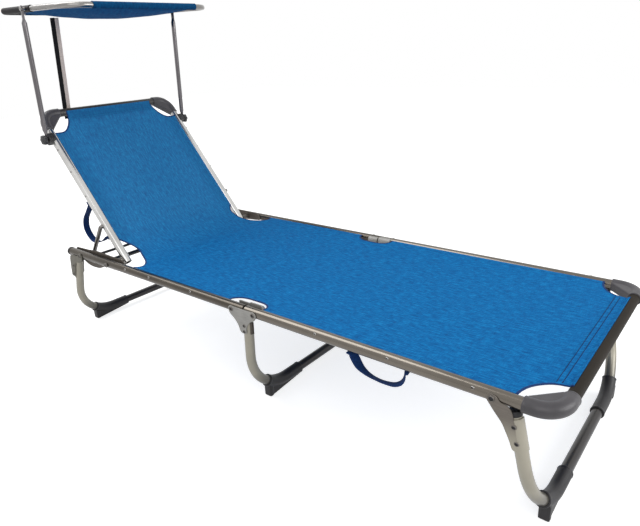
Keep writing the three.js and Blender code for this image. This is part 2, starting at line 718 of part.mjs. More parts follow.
for (const [name, side] of SIDES) {
  add(headFrame, `rack_${name}`, rack(side), rackPlastic);
  add(headFrame, `backrest_pivot_bolt_${name}`, pivotBolt(side), rivetMetal);
}
const braceX = railInner - GAP;
add(headFrame, 'cross_brace', tubeAlong(straight(at(-braceX, braceY, BRACE_Z), at(braceX, braceY, BRACE_Z)),
  BRACE_R, BRACE_WALL, SMALL_SIDES), railMetal);

// Fabric

// A sheet whose rows each have a place along it and a half width, and which sags between its edges.
function sheet(rows, columns, thick, heightAt) {
  const geometry = new THREE.BoxGeometry(1, 1, 1, columns, rows.length - 1, 1);
  const places = geometry.attributes.position;
  for (let i = 0; i < places.count; i += 1) {
    const row = rows[Math.round((places.getY(i) + 0.5) * (rows.length - 1))];
    const across = 2 * places.getX(i);
    const [along, half] = row;
    places.setXYZ(i, across * half, along, heightAt(across, along) + places.getZ(i) * thick);
  }
  return geometry;
}

const heldX = (axisX, rise, radius) => axisX - Math.sqrt(radius ** 2 - (rise - SLING_THICK / 2) ** 2) - GAP;
const slingX = heldX(RAIL_X, SLING_RISE, TUBE_R);
const slingStart = RAIL_X - slingX; // same inset from the foot bar
const SLING_COLUMNS = 6;
const SLING_ROWS = 5;

// Half width beside a round cut-out about a corner of the frame.
function cornerCut(edge, axisX, radius, distance) {
  const reach = Math.sqrt(Math.max(radius ** 2 - distance ** 2, 0));
  return Math.min(edge, axisX - reach);
}

// Middle cut-out: [distance from the hinge as a share of its length, width given back].
const HINGE_CUT_SHARES = [[0, 0], [0.55, 0], [0.8, 0.12], [0.94, 0.45], [1, 1]];
// Pivot cut-out on the seat and on the backrest: [way towards the neck, share of width kept].
const SEAT_NECK_SHARES = [[0, 1], [0.05, 0.78], [0.24, 0.45], [0.6, 0.17], [1, 0]];
const BACK_NECK_SHARES = [[0, 0.06], [0.45, 0.3], [0.8, 0.6], [1, 1]];
// Sag along a sling, taut at its two ends.
const bulge = (share) => 1 - Math.abs(2 * share - 1) ** 3;
const bow = (across) => 1 - across ** 4;

const footSlingEnd = HINGE_Y - GAP / 2;
const hingeRow = ([along, given], sign) => [
  HINGE_Y + sign * Math.max(along * HINGE_CUT, GAP / 2),
  HINGE_CUT_X + given * (slingX - HINGE_CUT_X),
];
const footSlingRows = [
  ...evenly(slingStart, CORNER_CUT, 5).map((y) => [y, cornerCut(slingX, RAIL_X, CORNER_CUT, y)]),
  ...evenly(CORNER_CUT, HINGE_Y - HINGE_CUT, SLING_ROWS).slice(1, -1).map((y) => [y, slingX]),
  ...HINGE_CUT_SHARES.slice().reverse().map((row) => hingeRow(row, -1)),
];
const footSag = (across, y) =>
  RAIL_Z + SLING_RISE - SLING_SAG * bow(across) * bulge((y - slingStart) / (footSlingEnd - slingStart) / 1.6);
add(footFrame, 'foot_sling', sheet(footSlingRows, SLING_COLUMNS, SLING_THICK, footSag), slingBlue);

const neckStartY = PIVOT_Y - NECK_START;
const seatEndY = PIVOT_Y - SLING_PIVOT_GAP;
const seatSlingRows = [
  ...HINGE_CUT_SHARES.map((row) => hingeRow(row, 1)),
  ...evenly(HINGE_Y + HINGE_CUT, neckStartY, SLING_ROWS - 1).slice(1, -1).map((y) => [y, slingX]),
  ...SEAT_NECK_SHARES.map(([along, kept]) =>
    [neckStartY + along * (seatEndY - neckStartY), NECK_X + kept * (slingX - NECK_X)]),
];
const seatSag = (across, y) =>
  RAIL_Z + SLING_RISE - SLING_SAG * bow(across) * bulge(((seatEndY - y) / (seatEndY - HINGE_Y)) / 1.6);
add(headFrame, 'seat_sling', sheet(seatSlingRows, SLING_COLUMNS, SLING_THICK, seatSag), slingBlue);

// Backrest, in its own frame: origin at the pivot, Y up the backrest, Z out of its front.

const backrest = subGroup(lounger, at(0, PIVOT_Y, RAIL_Z), backAngle);
const backMouth = BACK_LENGTH - mouthY;
const clampAt = BACK_LENGTH - ARM_DOWN;

function backTube(side) {
  const tube = tubeAlong(straight(at(side * BACK_X, -BACK_TAIL, 0), at(side * BACK_X, backMouth, 0)), TUBE_R, TUBE_WALL);
  const outside = side * (BACK_X + TUBE_R + OVERRUN);
  return cut(tube,
    holeX(side * BACK_X, outside, 0, 0, PIVOT_BOLT_R),
    holeX(side * BACK_X, outside, PROP_PIN, 0, PROP_R));
}

// A half saddle on the outside of the backrest tube, with the hole for the knob's bolt.
function clamp(side) {
  const outer = ARM_X - ARM_FLAT / 2 - GAP;
  const block = blockBetween(
    at(Math.min(side * BACK_X, side * outer), clampAt - CLAMP_LENGTH / 2, -CLAMP_HALF),
    at(Math.max(side * BACK_X, side * outer), clampAt + CLAMP_LENGTH / 2, CLAMP_HALF),
  );
  const bore = boreAlong(straight(
    at(side * BACK_X, clampAt - CLAMP_LENGTH, 0),
    at(side * BACK_X, clampAt + CLAMP_LENGTH, 0),
  ), TUBE_R);
  const hole = holeX(side * (outer - CLAMP_HOLE), side * (outer + OVERRUN), clampAt, 0, BOLT_R);
  return cut(block, bore, hole);
}

for (const [name, side] of SIDES) {
  add(backrest, `backrest_tube_${name}`, backTube(side), railMetal);
  const corner = add(backrest, `backrest_elbow_${name}`, mirrored(frameElbow, -side, -1), elbowPlastic);
  corner.position.set(side * BACK_X, BACK_LENGTH, 0);
  add(backrest, `canopy_clamp_${name}`, clamp(side), shoePlastic);
}
const topBarX = BACK_X - mouthY;
add(backrest, 'backrest_top_bar', tubeAlong(straight(at(-topBarX, BACK_LENGTH, 0), at(topBarX, BACK_LENGTH, 0)),
  TUBE_R, TUBE_WALL), railMetal);

const backSlingX = heldX(BACK_X, SLING_RISE, TUBE_R);
const backSlingEnd = BACK_LENGTH - slingStart;
const backSlingRows = [
  ...BACK_NECK_SHARES.map(([along, given]) =>
    [BACK_SLING_START + along * (NECK_END - BACK_SLING_START), NECK_X + given * (backSlingX - NECK_X)]),
  ...evenly(NECK_END, BACK_LENGTH - CORNER_CUT, SLING_ROWS - 1).slice(1, -1).map((y) => [y, backSlingX]),
  ...evenly(BACK_LENGTH - CORNER_CUT, backSlingEnd, 5).map((y) =>
    [y, cornerCut(backSlingX, BACK_X, CORNER_CUT, BACK_LENGTH - y)]),
];
const backSag = (across, y) =>
  SLING_RISE - SLING_SAG * bow(across) * bulge(y / backSlingEnd);
add(backrest, 'backrest_sling', sheet(backSlingRows, SLING_COLUMNS, SLING_THICK, backSag), slingBlue);

// Prop, in its own frame: origin at its pins, Y down to its cross bar.

const propX = BACK_X + TUBE_R + PROP_SIDE_GAP + PROP_R;
const propPinZ = RAIL_Z + PROP_PIN * Math.sin(backAngle);
const propTurn = Math.asin((PROP_BAR_Z - propPinZ) / PROP_LENGTH);
const prop = subGroup(lounger, at(0, PIVOT_Y + PROP_PIN * Math.cos(backAngle), propPinZ), propTurn);

function propBail() {
  const pinEnd = BACK_X + PROP_R / 2;
  const barEnd = rackInner - GAP;
  const legs = SIDES.map(([, side]) => rodAlong(bentStations([
    at(side * pinEnd, 0, 0),
    at(side * propX, 0, 0),
    at(side * propX, PROP_LENGTH, 0),
  ], PROP_R + GAP, BEND_STEPS / 2), PROP_R, SMALL_SIDES));
  const bar = rodAlong(straight(at(-barEnd, PROP_LENGTH, 0), at(barEnd, PROP_LENGTH, 0)), PROP_R, SMALL_SIDES);
  return join(bar, ...legs);
}
add(prop, 'prop_bail', propBail(), railMetal);

// Canopy arms, in their own frame: origin at the clamp bolts, Y up to the canopy bolts.

const armAngle = ARM_ANGLE * DEGREE;
const armBase = at(0, PIVOT_Y + clampAt * Math.cos(backAngle), RAIL_Z + clampAt * Math.sin(backAngle));
const arms = subGroup(lounger, armBase, armAngle);

// A round bar whose two ends are pressed flat round their bolts.
function arm(side) {
  const flatShare = ARM_FLAT / 2 / ARM_R;
  const low = -ARM_TIP;
  const high = ARM_LENGTH + ARM_TIP;
  const stops = [low, ARM_FLAT_LENGTH, ARM_FLAT_LENGTH + ARM_TAPER,
    ARM_LENGTH - ARM_FLAT_LENGTH - ARM_TAPER, ARM_LENGTH - ARM_FLAT_LENGTH, high];
  const pressed = [1, 1, 0, 0, 1, 1];
  const geometry = new THREE.CylinderGeometry(ARM_R, ARM_R, 1, TUBE_SIDES, stops.length - 1);
  const places = geometry.attributes.position;
  for (let i = 0; i < places.count; i += 1) {
    const stop = Math.round((places.getY(i) + 0.5) * (stops.length - 1));
    const press = pressed[stop];
    const x = places.getX(i) * (1 + press * (flatShare - 1));
    const z = places.getZ(i) * (1 + press * flatShare);
    places.setXYZ(i, side * ARM_X + x, stops[stop], z);
  }
  const near = side * (ARM_X - ARM_R);
  const far = side * (ARM_X + ARM_R);
  return cut(geometry, holeX(near, far, 0, 0, BOLT_R), holeX(near, far, ARM_LENGTH, 0, BOLT_R));
}

const ringX = ARM_X - ARM_R - RING_PLAY - RING_ELBOW_R;

function canopyBolt(side) {
  const seat = ARM_X + ARM_FLAT / 2 + GAP;
  const spacerFar = ARM_X - ARM_FLAT / 2 - GAP;
  const spacerNear = ringX + RING_ELBOW_R + GAP;
  return turnedX([
    [0, ringX],
    [BOLT_R, ringX],
    [BOLT_R, spacerNear],
    [SPACER_R, spacerNear],
    [SPACER_R, spacerFar],
    [BOLT_R, spacerFar],
    [BOLT_R, seat],
    [BOLT_HEAD_R, seat],
    [BOLT_HEAD_R, seat + BOLT_HEAD],
    [0, seat + BOLT_HEAD],
  ], side, ARM_LENGTH, 0);
}

for (const [name, side] of SIDES) {
  add(arms, `canopy_arm_${name}`, arm(side), legMetal);
  add(arms, `canopy_bolt_${name}`, canopyBolt(side), rivetMetal);
}

// Knobs, with the bolt that runs through the arm into the clamp.

function knob(side) {
  const seat = ARM_X + ARM_FLAT / 2 + GAP;
  const points = [];
  const steps = KNOB_LOBES * 4;
  for (let i = 0; i < steps; i += 1) {
    const turn = (2 * Math.PI * i) / steps;
    const radius = KNOB_R - (KNOB_GROOVE / 2) * (1 - Math.cos(KNOB_LOBES * turn));
    points.push([radius * Math.cos(turn), radius * Math.sin(turn)]);
  }
  const grip = plateX(points, seat, seat + KNOB_THICK, side);
  const boltEnd = ARM_X - ARM_FLAT / 2 - CLAMP_HOLE + GAP;
  const shank = rodX(side * boltEnd, side * (seat + KNOB_THICK / 2), 0, 0, BOLT_R);
  return join(grip, shank);
}

for (const [name, side] of SIDES) {
  const grip = add(lounger, `canopy_knob_${name}`, knob(side), shoePlastic);
  grip.position.copy(armBase);
}

// Canopy, in its own frame: origin at its bolts, Y to its rear edge.

const ringTurn = RING_TILT * DEGREE;
const armTop = at(0, armBase.y + ARM_LENGTH * Math.cos(armAngle), armBase.z + ARM_LENGTH * Math.sin(armAngle));
const canopy = subGroup(lounger, armTop, ringTurn);

const ringBoltHole = (side) => holeX(side * ringX, side * (ARM_X + OVERRUN), 0, 0, BOLT_R);

function frontTube() {
  const end = RING_SOCKET - RING_MOUTH - GAP;
  const corners = [at(-ringX, end, 0), at(-ringX, -FRONT_BAR_AHEAD, 0), at(ringX, -FRONT_BAR_AHEAD, 0), at(ringX, end, 0)];
  const tube = tubeAlong(bentStations(corners, RING_BEND), RING_R, RING_WALL, SMALL_SIDES);
  return cut(tube, ...SIDES.map(([, side]) => ringBoltHole(side)));
}

const ringElbow = elbow(RING_ELBOW_R, RING_R, RING_ELBOW_BEND, REAR_BAR_BACK + RING_MOUTH, ELBOW_REACH,
  RING_SOCKET, SOCKET_DEPTH, RING_GUSSET, SMALL_SIDES);

add(canopy, 'canopy_front_tube', frontTube(), railMetal);
for (const [name, side] of SIDES) {
  const corner = mirrored(ringElbow, -side, -1);
  corner.translate(side * ringX, REAR_BAR_BACK, 0);
  add(canopy, `canopy_elbow_${name}`, cut(corner, ringBoltHole(side)), elbowPlastic);
}
const rearBarX = ringX - mouthY;
add(canopy, 'canopy_rear_bar', tubeAlong(straight(at(-rearBarX, REAR_BAR_BACK, 0), at(rearBarX, REAR_BAR_BACK, 0)),
  RING_R, RING_WALL, SMALL_SIDES), railMetal);

const clothX = ringX - RING_ELBOW_R - GAP;
const clothFront = RING_R + GAP - FRONT_BAR_AHEAD;
const clothRear = REAR_BAR_BACK - RING_R - GAP;
const clothRows = [
  ...evenly(clothFront, CLOTH_CUT - FRONT_BAR_AHEAD, 4).map((y) => [y, cornerCut(clothX, ringX, CLOTH_CUT, y + FRONT_BAR_AHEAD)]),
  ...evenly(CLOTH_CUT - FRONT_BAR_AHEAD, REAR_BAR_BACK - CLOTH_CUT, 4).slice(1, -1).map((y) => [y, clothX]),
  ...evenly(REAR_BAR_BACK - CLOTH_CUT, clothRear, 4).map((y) => [y, cornerCut(clothX, ringX, CLOTH_CUT, REAR_BAR_BACK - y)]),
];
const clothSag = (across, y) =>
  -CLOTH_SAG * bow(across) * bulge((y - clothFront) / (clothRear - clothFront));
add(canopy, 'canopy_cloth', sheet(clothRows, SLING_COLUMNS, CLOTH_THICK, clothSag), clothBlue);

// Webbing

const webShape = (width, thick) => new THREE.Shape([
  new THREE.Vector2(-width / 2, -thick / 2),
  new THREE.Vector2(width / 2, -thick / 2),
  new THREE.Vector2(width / 2, thick / 2),
  new THREE.Vector2(-width / 2, thick / 2),
]);

const webAlong = (points, width, thick) =>
  swept(bentStations(points, WEB_BEND, BEND_STEPS / 2), webShape(width, thick), at(1, 0, 0));

// A carrying handle: [share of its length from its middle, share of its drop].
const FOOT_HANDLE_SHARES = [
  [0.62, 0], [0.5, 0], [0.45, 0.6], [0.26, 0.98], [-0.14, 1.04], [-0.4, 0.82], [-0.5, 0], [-0.62, 0],
];
const HEAD_HANDLE_SHARES = [
  [0.62, 0], [0.5, 0], [0.42, 0.86], [0.3, 1.04], [-0.28, 0.94], [-0.42, 0.6], [-0.5, 0], [-0.62, 0],
];

const underRail = RAIL_Z - TUBE_R - GAP - WEB_THICK / 2;
add(footFrame, 'foot_carry_handle', webAlong(FOOT_HANDLE_SHARES.map(([along, down]) =>
  at(-RAIL_X, FOOT_HANDLE_Y + along * FOOT_HANDLE_LENGTH, underRail - down * FOOT_HANDLE_DROP)),
WEB_WIDTH, WEB_THICK), webBlue);

const behindTube = -TUBE_R - GAP - WEB_THICK / 2;
add(backrest, 'head_carry_handle', webAlong(HEAD_HANDLE_SHARES.map(([along, down]) =>
  at(-BACK_X, HEAD_HANDLE_AT + along * HEAD_HANDLE_LENGTH, behindTube - down * HEAD_HANDLE_DROP)),
WEB_WIDTH, WEB_THICK), webBlue);

// Tie strap: from under the canopy at its bolt axis down behind the backrest's top bar.
const topBar = at(0, PIVOT_Y + BACK_LENGTH * Math.cos(backAngle), RAIL_Z + BACK_LENGTH * Math.sin(backAngle));
const behindBar = TUBE_R + GAP + TIE_THICK / 2;
const tieTop = at(TIE_TOP_X, armTop.y, armTop.z - TIE_TOP_DROP);
const tieOver = at(TIE_BOTTOM_X, topBar.y + behindBar, topBar.z + TUBE_R);
const tieEnd = at(TIE_BOTTOM_X, topBar.y + behindBar, topBar.z - TIE_HOOK);
const tieStations = straight(tieTop, tieOver);
tieStations.push({ place: tieEnd, along: at(0, 0, -1) });
add(lounger, 'canopy_tie_strap', swept(tieStations, webShape(TIE_WIDTH, TIE_THICK), at(1, 0, 0)), webBlack);

// The model's origin is on the floor under the middle of its length.
const frontEnd = -ELBOW_R;
const rearEnd = armTop.y + REAR_BAR_BACK * Math.cos(ringTurn) + RING_ELBOW_R;
lounger.position.y = -(frontEnd + rearEnd) / 2;

export default lounger;
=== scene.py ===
import json
from math import asin, atan2, ceil, copysign, cos, dist, exp, hypot, pi, radians, sin, sqrt, tan

import bmesh
import bpy
import numpy as np
from mathutils import Matrix, Vector, noise
from mathutils.geometry import delaunay_2d_cdt

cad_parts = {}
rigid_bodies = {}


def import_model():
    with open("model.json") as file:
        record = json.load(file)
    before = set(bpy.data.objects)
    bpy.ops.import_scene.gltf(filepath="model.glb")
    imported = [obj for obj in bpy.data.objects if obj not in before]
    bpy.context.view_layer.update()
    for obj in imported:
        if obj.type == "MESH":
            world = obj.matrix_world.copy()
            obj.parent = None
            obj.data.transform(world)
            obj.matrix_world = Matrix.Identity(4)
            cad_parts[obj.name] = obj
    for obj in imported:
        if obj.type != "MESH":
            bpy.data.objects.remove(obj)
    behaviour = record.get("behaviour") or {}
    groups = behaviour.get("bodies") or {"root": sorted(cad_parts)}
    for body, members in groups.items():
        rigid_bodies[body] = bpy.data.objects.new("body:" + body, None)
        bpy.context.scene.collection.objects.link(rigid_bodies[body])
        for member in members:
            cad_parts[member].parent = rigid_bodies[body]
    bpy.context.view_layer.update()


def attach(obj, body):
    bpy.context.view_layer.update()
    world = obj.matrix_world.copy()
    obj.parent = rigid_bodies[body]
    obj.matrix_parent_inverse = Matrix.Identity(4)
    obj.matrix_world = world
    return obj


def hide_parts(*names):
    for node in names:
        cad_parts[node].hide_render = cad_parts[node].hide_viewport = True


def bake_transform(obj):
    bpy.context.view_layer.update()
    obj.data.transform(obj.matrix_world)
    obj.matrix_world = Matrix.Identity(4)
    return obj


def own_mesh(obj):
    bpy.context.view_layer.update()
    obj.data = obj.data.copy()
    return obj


for startup in list(bpy.data.objects):
    bpy.data.objects.remove(startup)
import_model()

# Places, in millimetres from the foot bar's axis, as in the part's source
MIDDLE_Y = 889.2395
TUBE_R = 12.5
RAIL_X = 302
RAIL_Z = 280.5
HINGE_Y = 740
PIVOT_Y = 1334
RAIL_HEAD_Y = 1556
BACK_X = 246.5
BACK_LENGTH = 553
BACK_ANGLE = 50.3
ARM_X = 270.5
ARM_LENGTH = 381
ARM_ANGLE = 93.7
CLAMP_AT = 461.4
RING_X = 252.6
RING_R = 8
RING_FRONT, RING_REAR = -231, 180
RING_ANGLE = 1.5
PROP_LENGTH = 144
PROP_AT = 125
PROP_ANGLE = -53.113
BRACE_Y, BRACE_Z = 1442.5, 249.5
SIDES = (("left", -1), ("right", 1))

def at(x, y, z):
    """A point in the row frame, in metres, from millimetres."""
    return Vector((x / 1000, (y - MIDDLE_Y) / 1000, z / 1000))

def row(point):
    """A point's distance along and height, in millimetres."""
    return point.y * 1000 + MIDDLE_Y, point.z * 1000

def local_frame(y, z, degrees):
    """Points given across, along and out of a frame that is turned about X."""
    c, s = cos(radians(degrees)), sin(radians(degrees))
    return lambda x, a, b: at(x, y + a * c - b * s, z + a * s + b * c)

def way(place, *step):
    """The direction of a step in a local frame."""
    return (place(*step) - place(0, 0, 0)).normalized()

back = local_frame(PIVOT_Y, RAIL_Z, BACK_ANGLE)
ARM_BASE_Y, ARM_BASE_Z = row(back(0, CLAMP_AT, 0))
arms = local_frame(ARM_BASE_Y, ARM_BASE_Z, ARM_ANGLE)
ARM_TOP_Y, ARM_TOP_Z = row(arms(0, ARM_LENGTH, 0))
ring = local_frame(ARM_TOP_Y, ARM_TOP_Z, RING_ANGLE)
prop = local_frame(*row(back(0, PROP_AT, 0)), PROP_ANGLE)
back_up, back_out = way(back, 0, 1, 0), way(back, 0, 0, 1)
ring_along, ring_out = way(ring, 0, 1, 0), way(ring, 0, 0, 1)

# ---------------------------------------------------------------- materials

def fill(tree, node, sockets):
    """Each socket gets its number, its colour or its link."""
    for key, value in sockets.items():
        socket = node.inputs[key]
        if isinstance(value, bpy.types.NodeSocket):
            tree.links.new(value, socket)
        elif isinstance(value, tuple) and len(socket.default_value) == 4:
            socket.default_value = (*value, 1)
        else:
            socket.default_value = value

def add_node(tree, kind, sockets, output=0, **settings):
    """One of a new node's outputs."""
    made = tree.nodes.new("ShaderNode" + kind)
    for key, value in settings.items():
        setattr(made, key, value)
    fill(tree, made, sockets)
    return made.outputs[output]

class Nodes:
    """A material's node tree, with short calls for the nodes used here."""

    def __init__(self, name, color, roughness, metallic=0.0):
        self.material = bpy.data.materials.new(name)
        self.material.use_nodes = True
        self.tree = self.material.node_tree
        self.shader = self.tree.nodes["Principled BSDF"]
        self.surface({"Base Color": color, "Roughness": roughness, "Metallic": metallic})

    def surface(self, sockets):
        fill(self.tree, self.shader, sockets)
        return self.material

    def node(self, *words, **settings):
        return add_node(self.tree, *words, **settings)

    def coords(self, uv=False, scale=(1, 1, 1)):
        source = self.node("TexCoord", {}, "UV" if uv else "Object")
        return self.node("Mapping", {"Vector": source, "Scale": scale}, "Vector")

    def part(self, vector, axis):
        return self.node("SeparateXYZ", {0: vector}, axis)

    def noise(self, vector, scale, detail=3, rough=0.55):
        return self.node("TexNoise", {"Vector": vector, "Scale": scale, "Detail": detail, "Roughness": rough}, "Fac")

    def wave(self, vector, scale, direction, distortion):
        sockets = {"Vector": vector, "Scale": scale, "Distortion": distortion, "Detail": 1}
        return self.node("TexWave", sockets, "Fac", bands_direction=direction)

    def ramp(self, value, *stops):
        color = self.node("ValToRGB", {"Fac": value}, "Color")
        elements = color.node.color_ramp.elements
        while len(elements) < len(stops):
            elements.new(0.5)
        for element, (spot, tone) in zip(elements, stops):
            element.position, element.color = spot, (*tone, 1)
        return color

    def math(self, operation, a, b):
        return self.node("Math", {0: a, 1: b}, operation=operation)

    def mix(self, factor, a, b):
        return self.node("Mix", {0: factor, 6: a, 7: b}, 2, data_type="RGBA")

    def span(self, value, low, high, start=0.0, end=1.0):
        """The value's range from start to end, spread from low to high."""
        ends = {"From Min": start, "From Max": end, "To Min": low, "To Max": high}
        return self.node("MapRange", {"Value": value, **ends})

    def between(self, value, low, high):
        """0 below low and 1 above high."""
        return self.span(value, 0, 1, low, high)

    def bump(self, height, distance, strength, **below):
        return self.node("Bump", {"Height": height, "Distance": distance, "Strength": strength, **below}, "Normal")

def dim(color, share):
    return tuple(min(c * share, 1) for c in color)

def lacquered(name, color, roughness, metallic, low=None, coat=0.25, gloss=0.5):
    """Lacquered steel: flow marks, dust in patches and small scuffs; low, where given, is a darker colour near the
    floor, which is painted shade.
    """
    m = Nodes(name, color, roughness, metallic)
    where = m.coords()
    patch, scuff = m.noise(where, 9, 4), m.noise(where, 60, 6, 0.7)
    tone = m.ramp(patch, (0.3, dim(color, 0.84)), (0.7, dim(color, 1.1)))
    # painted shade: low down, the colour turns to low
    if low:
        tone = m.mix(m.between(m.part(where, 2), 0.035, 0.1), low, tone)
    rough = m.math("ADD", m.span(patch, roughness - 0.07, roughness + 0.06), m.span(scuff, -0.04, 0.05))
    return m.surface({"Base Color": tone, "Roughness": rough, "Normal": m.bump(m.noise(where, 420, 2), 0.00002, 0.3),
                      "Specular IOR Level": gloss, "Coat Weight": coat, "Coat Roughness": 0.18})

def moulded(name, color, roughness, gloss=0.4):
    """Moulded plastic: fine spark-eroded grain, slightly rubbed in patches."""
    m = Nodes(name, color, roughness)
    where = m.coords()
    patch = m.noise(where, 22, 4)
    tone = m.ramp(patch, (0.3, dim(color, 0.84)), (0.72, dim(color, 1.18)))
    return m.surface({"Base Color": tone, "Roughness": m.span(patch, roughness - 0.05, roughness + 0.09),
                      "Normal": m.bump(m.noise(where, 700, 2), 0.00012, 0.5), "Specular IOR Level": gloss})

def pressed(name, color, roughness, metallic, low=None):
    """Pressed sheet steel: drawn streaks and rubbed spots; low is its colour further down."""
    m = Nodes(name, color, roughness, metallic)
    streak = m.noise(m.coords(False, (1, 1, 14)), 40, 4, 0.6)
    worn = m.math("MULTIPLY", m.math("ADD", streak, m.noise(m.coords(), 30)), 0.5)
    tone = m.ramp(worn, (0.35, dim(color, 0.8)), (0.65, dim(color, 1.15)))
    if low:
        tone = m.mix(m.between(m.part(m.coords(), 2), 0.2, 0.252), low, tone)
    return m.surface({"Base Color": tone, "Roughness": m.span(streak, roughness - 0.08, roughness + 0.12),
                      "Normal": m.bump(streak, 0.00006, 0.6)})

def melange(name, light, middle, dark, bright, painted_lit_tone=None):
    """Woven sling fabric: slubby yarns along the length, a finer weft, and soft wear."""
    m = Nodes(name, middle, 0.85)
    uv = m.coords(True)
    yarns = None
    for scale, rough, weight in (((235, 48, 1), 0.6, 0.5), ((460, 15, 1), 0.5, 0.26), ((70, 400, 1), 0.5, 0.24)):
        layer = m.math("MULTIPLY", m.noise(m.coords(True, scale), 1, 2, rough), weight)
        yarns = m.math("ADD", yarns, layer) if yarns else layer
    color = m.ramp(yarns, (0.38, dark), (0.49, middle), (0.6, light), (0.72, bright))
    if painted_lit_tone:  # the backrest's painted lighter tone (painted light on the same cloth), its doubled hem darker at the top, and painted shade along its sides
        along, across = m.part(uv, 1), m.math("ABSOLUTE", m.part(uv, 0), 0)
        above = m.between(along, 1.2, 1.42)
        raised = m.ramp(yarns, (0.34, painted_lit_tone[2]), (0.49, painted_lit_tone[1]), (0.64, painted_lit_tone[0]), (0.8, painted_lit_tone[3]))
        color = m.mix(above, color, raised)
        # the first band darkens the top hem; the second is painted shade along the backrest's sides
        for share, weight in ((m.between(along, 1.822, 1.836), 0.35),
                              (m.math("MULTIPLY", m.between(across, 0.178, 0.212), above), 0.25)):
            color = m.mix(m.math("MULTIPLY", share, weight), color, dim(middle, 0.5))
    cloudy = m.noise(m.coords(True, (7, 5, 1)), 1, 3, 0.5)
    color = m.mix(m.span(cloudy, 0.0, 0.3), color, dim(middle, 0.8))
    weave = m.bump(m.math("ADD", m.wave(uv, 330, "X", 0.6), m.wave(uv, 300, "Y", 0.6)), 0.0002, 0.5)
    return m.surface({"Base Color": color, "Roughness": m.span(yarns, 0.76, 0.96),
                      "Normal": m.bump(yarns, 0.0004, 0.55, Normal=weave), "Specular IOR Level": 0.12,
                      "Sheen Weight": 0.04, "Sheen Roughness": 0.5, "Sheen Tint": light})

def webbing(name, color, edge):
    """Woven webbing: ribs across the width, a darker selvedge and lint."""
    m = Nodes(name, color, 0.8)
    uv = m.coords(True)
    ribs = m.wave(uv, 210, "Y", 0.4)
    tone = m.ramp(m.noise(uv, 260, 4, 0.65), (0.3, edge), (0.66, color), (0.8, dim(color, 1.5)))
    height = m.math("ADD", ribs, m.math("MULTIPLY", m.wave(uv, 130, "X", 0.3), 0.6))
    return m.surface({"Base Color": m.mix(m.span(ribs, 0.0, 0.4), tone, edge),
                      "Normal": m.bump(height, 0.00035, 0.8), "Specular IOR Level": 0.2, "Sheen Weight": 0.03})

RAIL = lacquered("rail_lacquer", (0.15, 0.133, 0.112), 0.22, 0.97)
# The head half of each rail gets a darker copy of the rail lacquer: painted shade for its darker reflections.
HEAD_RAIL_PAINTED_DARK = lacquered("head_rail_painted_dark_lacquer", (0.075, 0.064, 0.051), 0.24, 0.95)
FOOT_BAR = lacquered("foot_bar_lacquer", (0.022, 0.018, 0.014), 0.6, 0.0, coat=0.0, gloss=0.1)
TOP_BAR = lacquered("top_bar_lacquer", (0.07, 0.068, 0.066), 0.45, 0.8, coat=0.0)
BACK_TUBE = lacquered("backrest_lacquer", (0.6, 0.595, 0.58), 0.22, 0.95)
# The legs' cross tubes near the floor take the dark low colour: painted shade under the lounger.
LEG = lacquered("leg_lacquer", (0.335, 0.313, 0.254), 0.32, 0.45, (0.024, 0.021, 0.021))
ARM = lacquered("arm_lacquer", (0.155, 0.146, 0.153), 0.18, 0.97)
RING = lacquered("ring_lacquer", (0.27, 0.26, 0.25), 0.2, 0.95)
DARK_ROD = lacquered("brace_lacquer", (0.05, 0.045, 0.04), 0.36, 0.6)
PROP = lacquered("prop_lacquer", (0.17, 0.16, 0.15), 0.3, 0.9)
RACK = pressed("rack_steel", (0.105, 0.09, 0.076), 0.45, 0.6)
BRACKET = pressed("bracket_steel", (0.29, 0.285, 0.27), 0.45, 0.5)
HEAD_BRACKET = pressed("head_bracket_steel", (0.13, 0.122, 0.1), 0.45, 0.5)
FOOT_BRACKET = pressed("foot_bracket_steel", (0.15, 0.132, 0.114), 0.4, 0.5, (0.36, 0.337, 0.275))
RIVET = pressed("rivet_steel", (0.14, 0.13, 0.12), 0.36, 0.85)
BRIGHT = pressed("screw_steel", (0.32, 0.31, 0.3), 0.25, 1.0)
ELBOW = moulded("elbow_plastic", (0.06, 0.057, 0.063), 0.36)
SHOE = moulded("shoe_plastic", (0.013, 0.012, 0.014), 0.42)
KNOB = moulded("knob_plastic", (0.03, 0.03, 0.032), 0.42)
CANOPY_END = moulded("canopy_end_plastic", (0.012, 0.01, 0.011), 0.5, 0.15)
BLACK = moulded("plug_plastic", (0.008, 0.008, 0.009), 0.5)
BLUES = (0.006, 0.208, 0.51), (0.002, 0.129, 0.375), (0.001, 0.072, 0.24), (0.024, 0.265, 0.57)
# The backrest's blues, lifted: painted light, as the backrest is the same cloth as the seat.
PAINTED_LIT_BLUES = [(r + 0.021, g * 1.25 + 0.01, b * 1.06 + 0.01) for r, g, b in BLUES]
SLING = melange("sling_fabric", *BLUES)
BACK_SLING = melange("backrest_fabric", *BLUES, painted_lit_tone=PAINTED_LIT_BLUES)
# The canopy cloth and the sleeves round its bars are the sling's blues dimmed to 0.66 and 0.42: painted shade.
CANOPY = melange("canopy_fabric", *[dim(c, 0.66) for c in BLUES])
SLEEVE = melange("sleeve_fabric", *[dim(c, 0.42) for c in BLUES])
BINDING = webbing("binding_tape", (0.005, 0.05, 0.2), (0.002, 0.022, 0.1))
NAVY = webbing("handle_webbing", (0.006, 0.05, 0.2), (0.003, 0.016, 0.075))
BLACK_WEB = webbing("strap_black", (0.007, 0.007, 0.008), (0.003, 0.003, 0.004))
GREY_WEB = webbing("strap_grey", (0.72, 0.62, 0.57), (0.5, 0.43, 0.39))
THREAD = webbing("seam_thread", (0.002, 0.03, 0.12), (0.001, 0.018, 0.08))

# ---------------------------------------------------------------- mesh tools

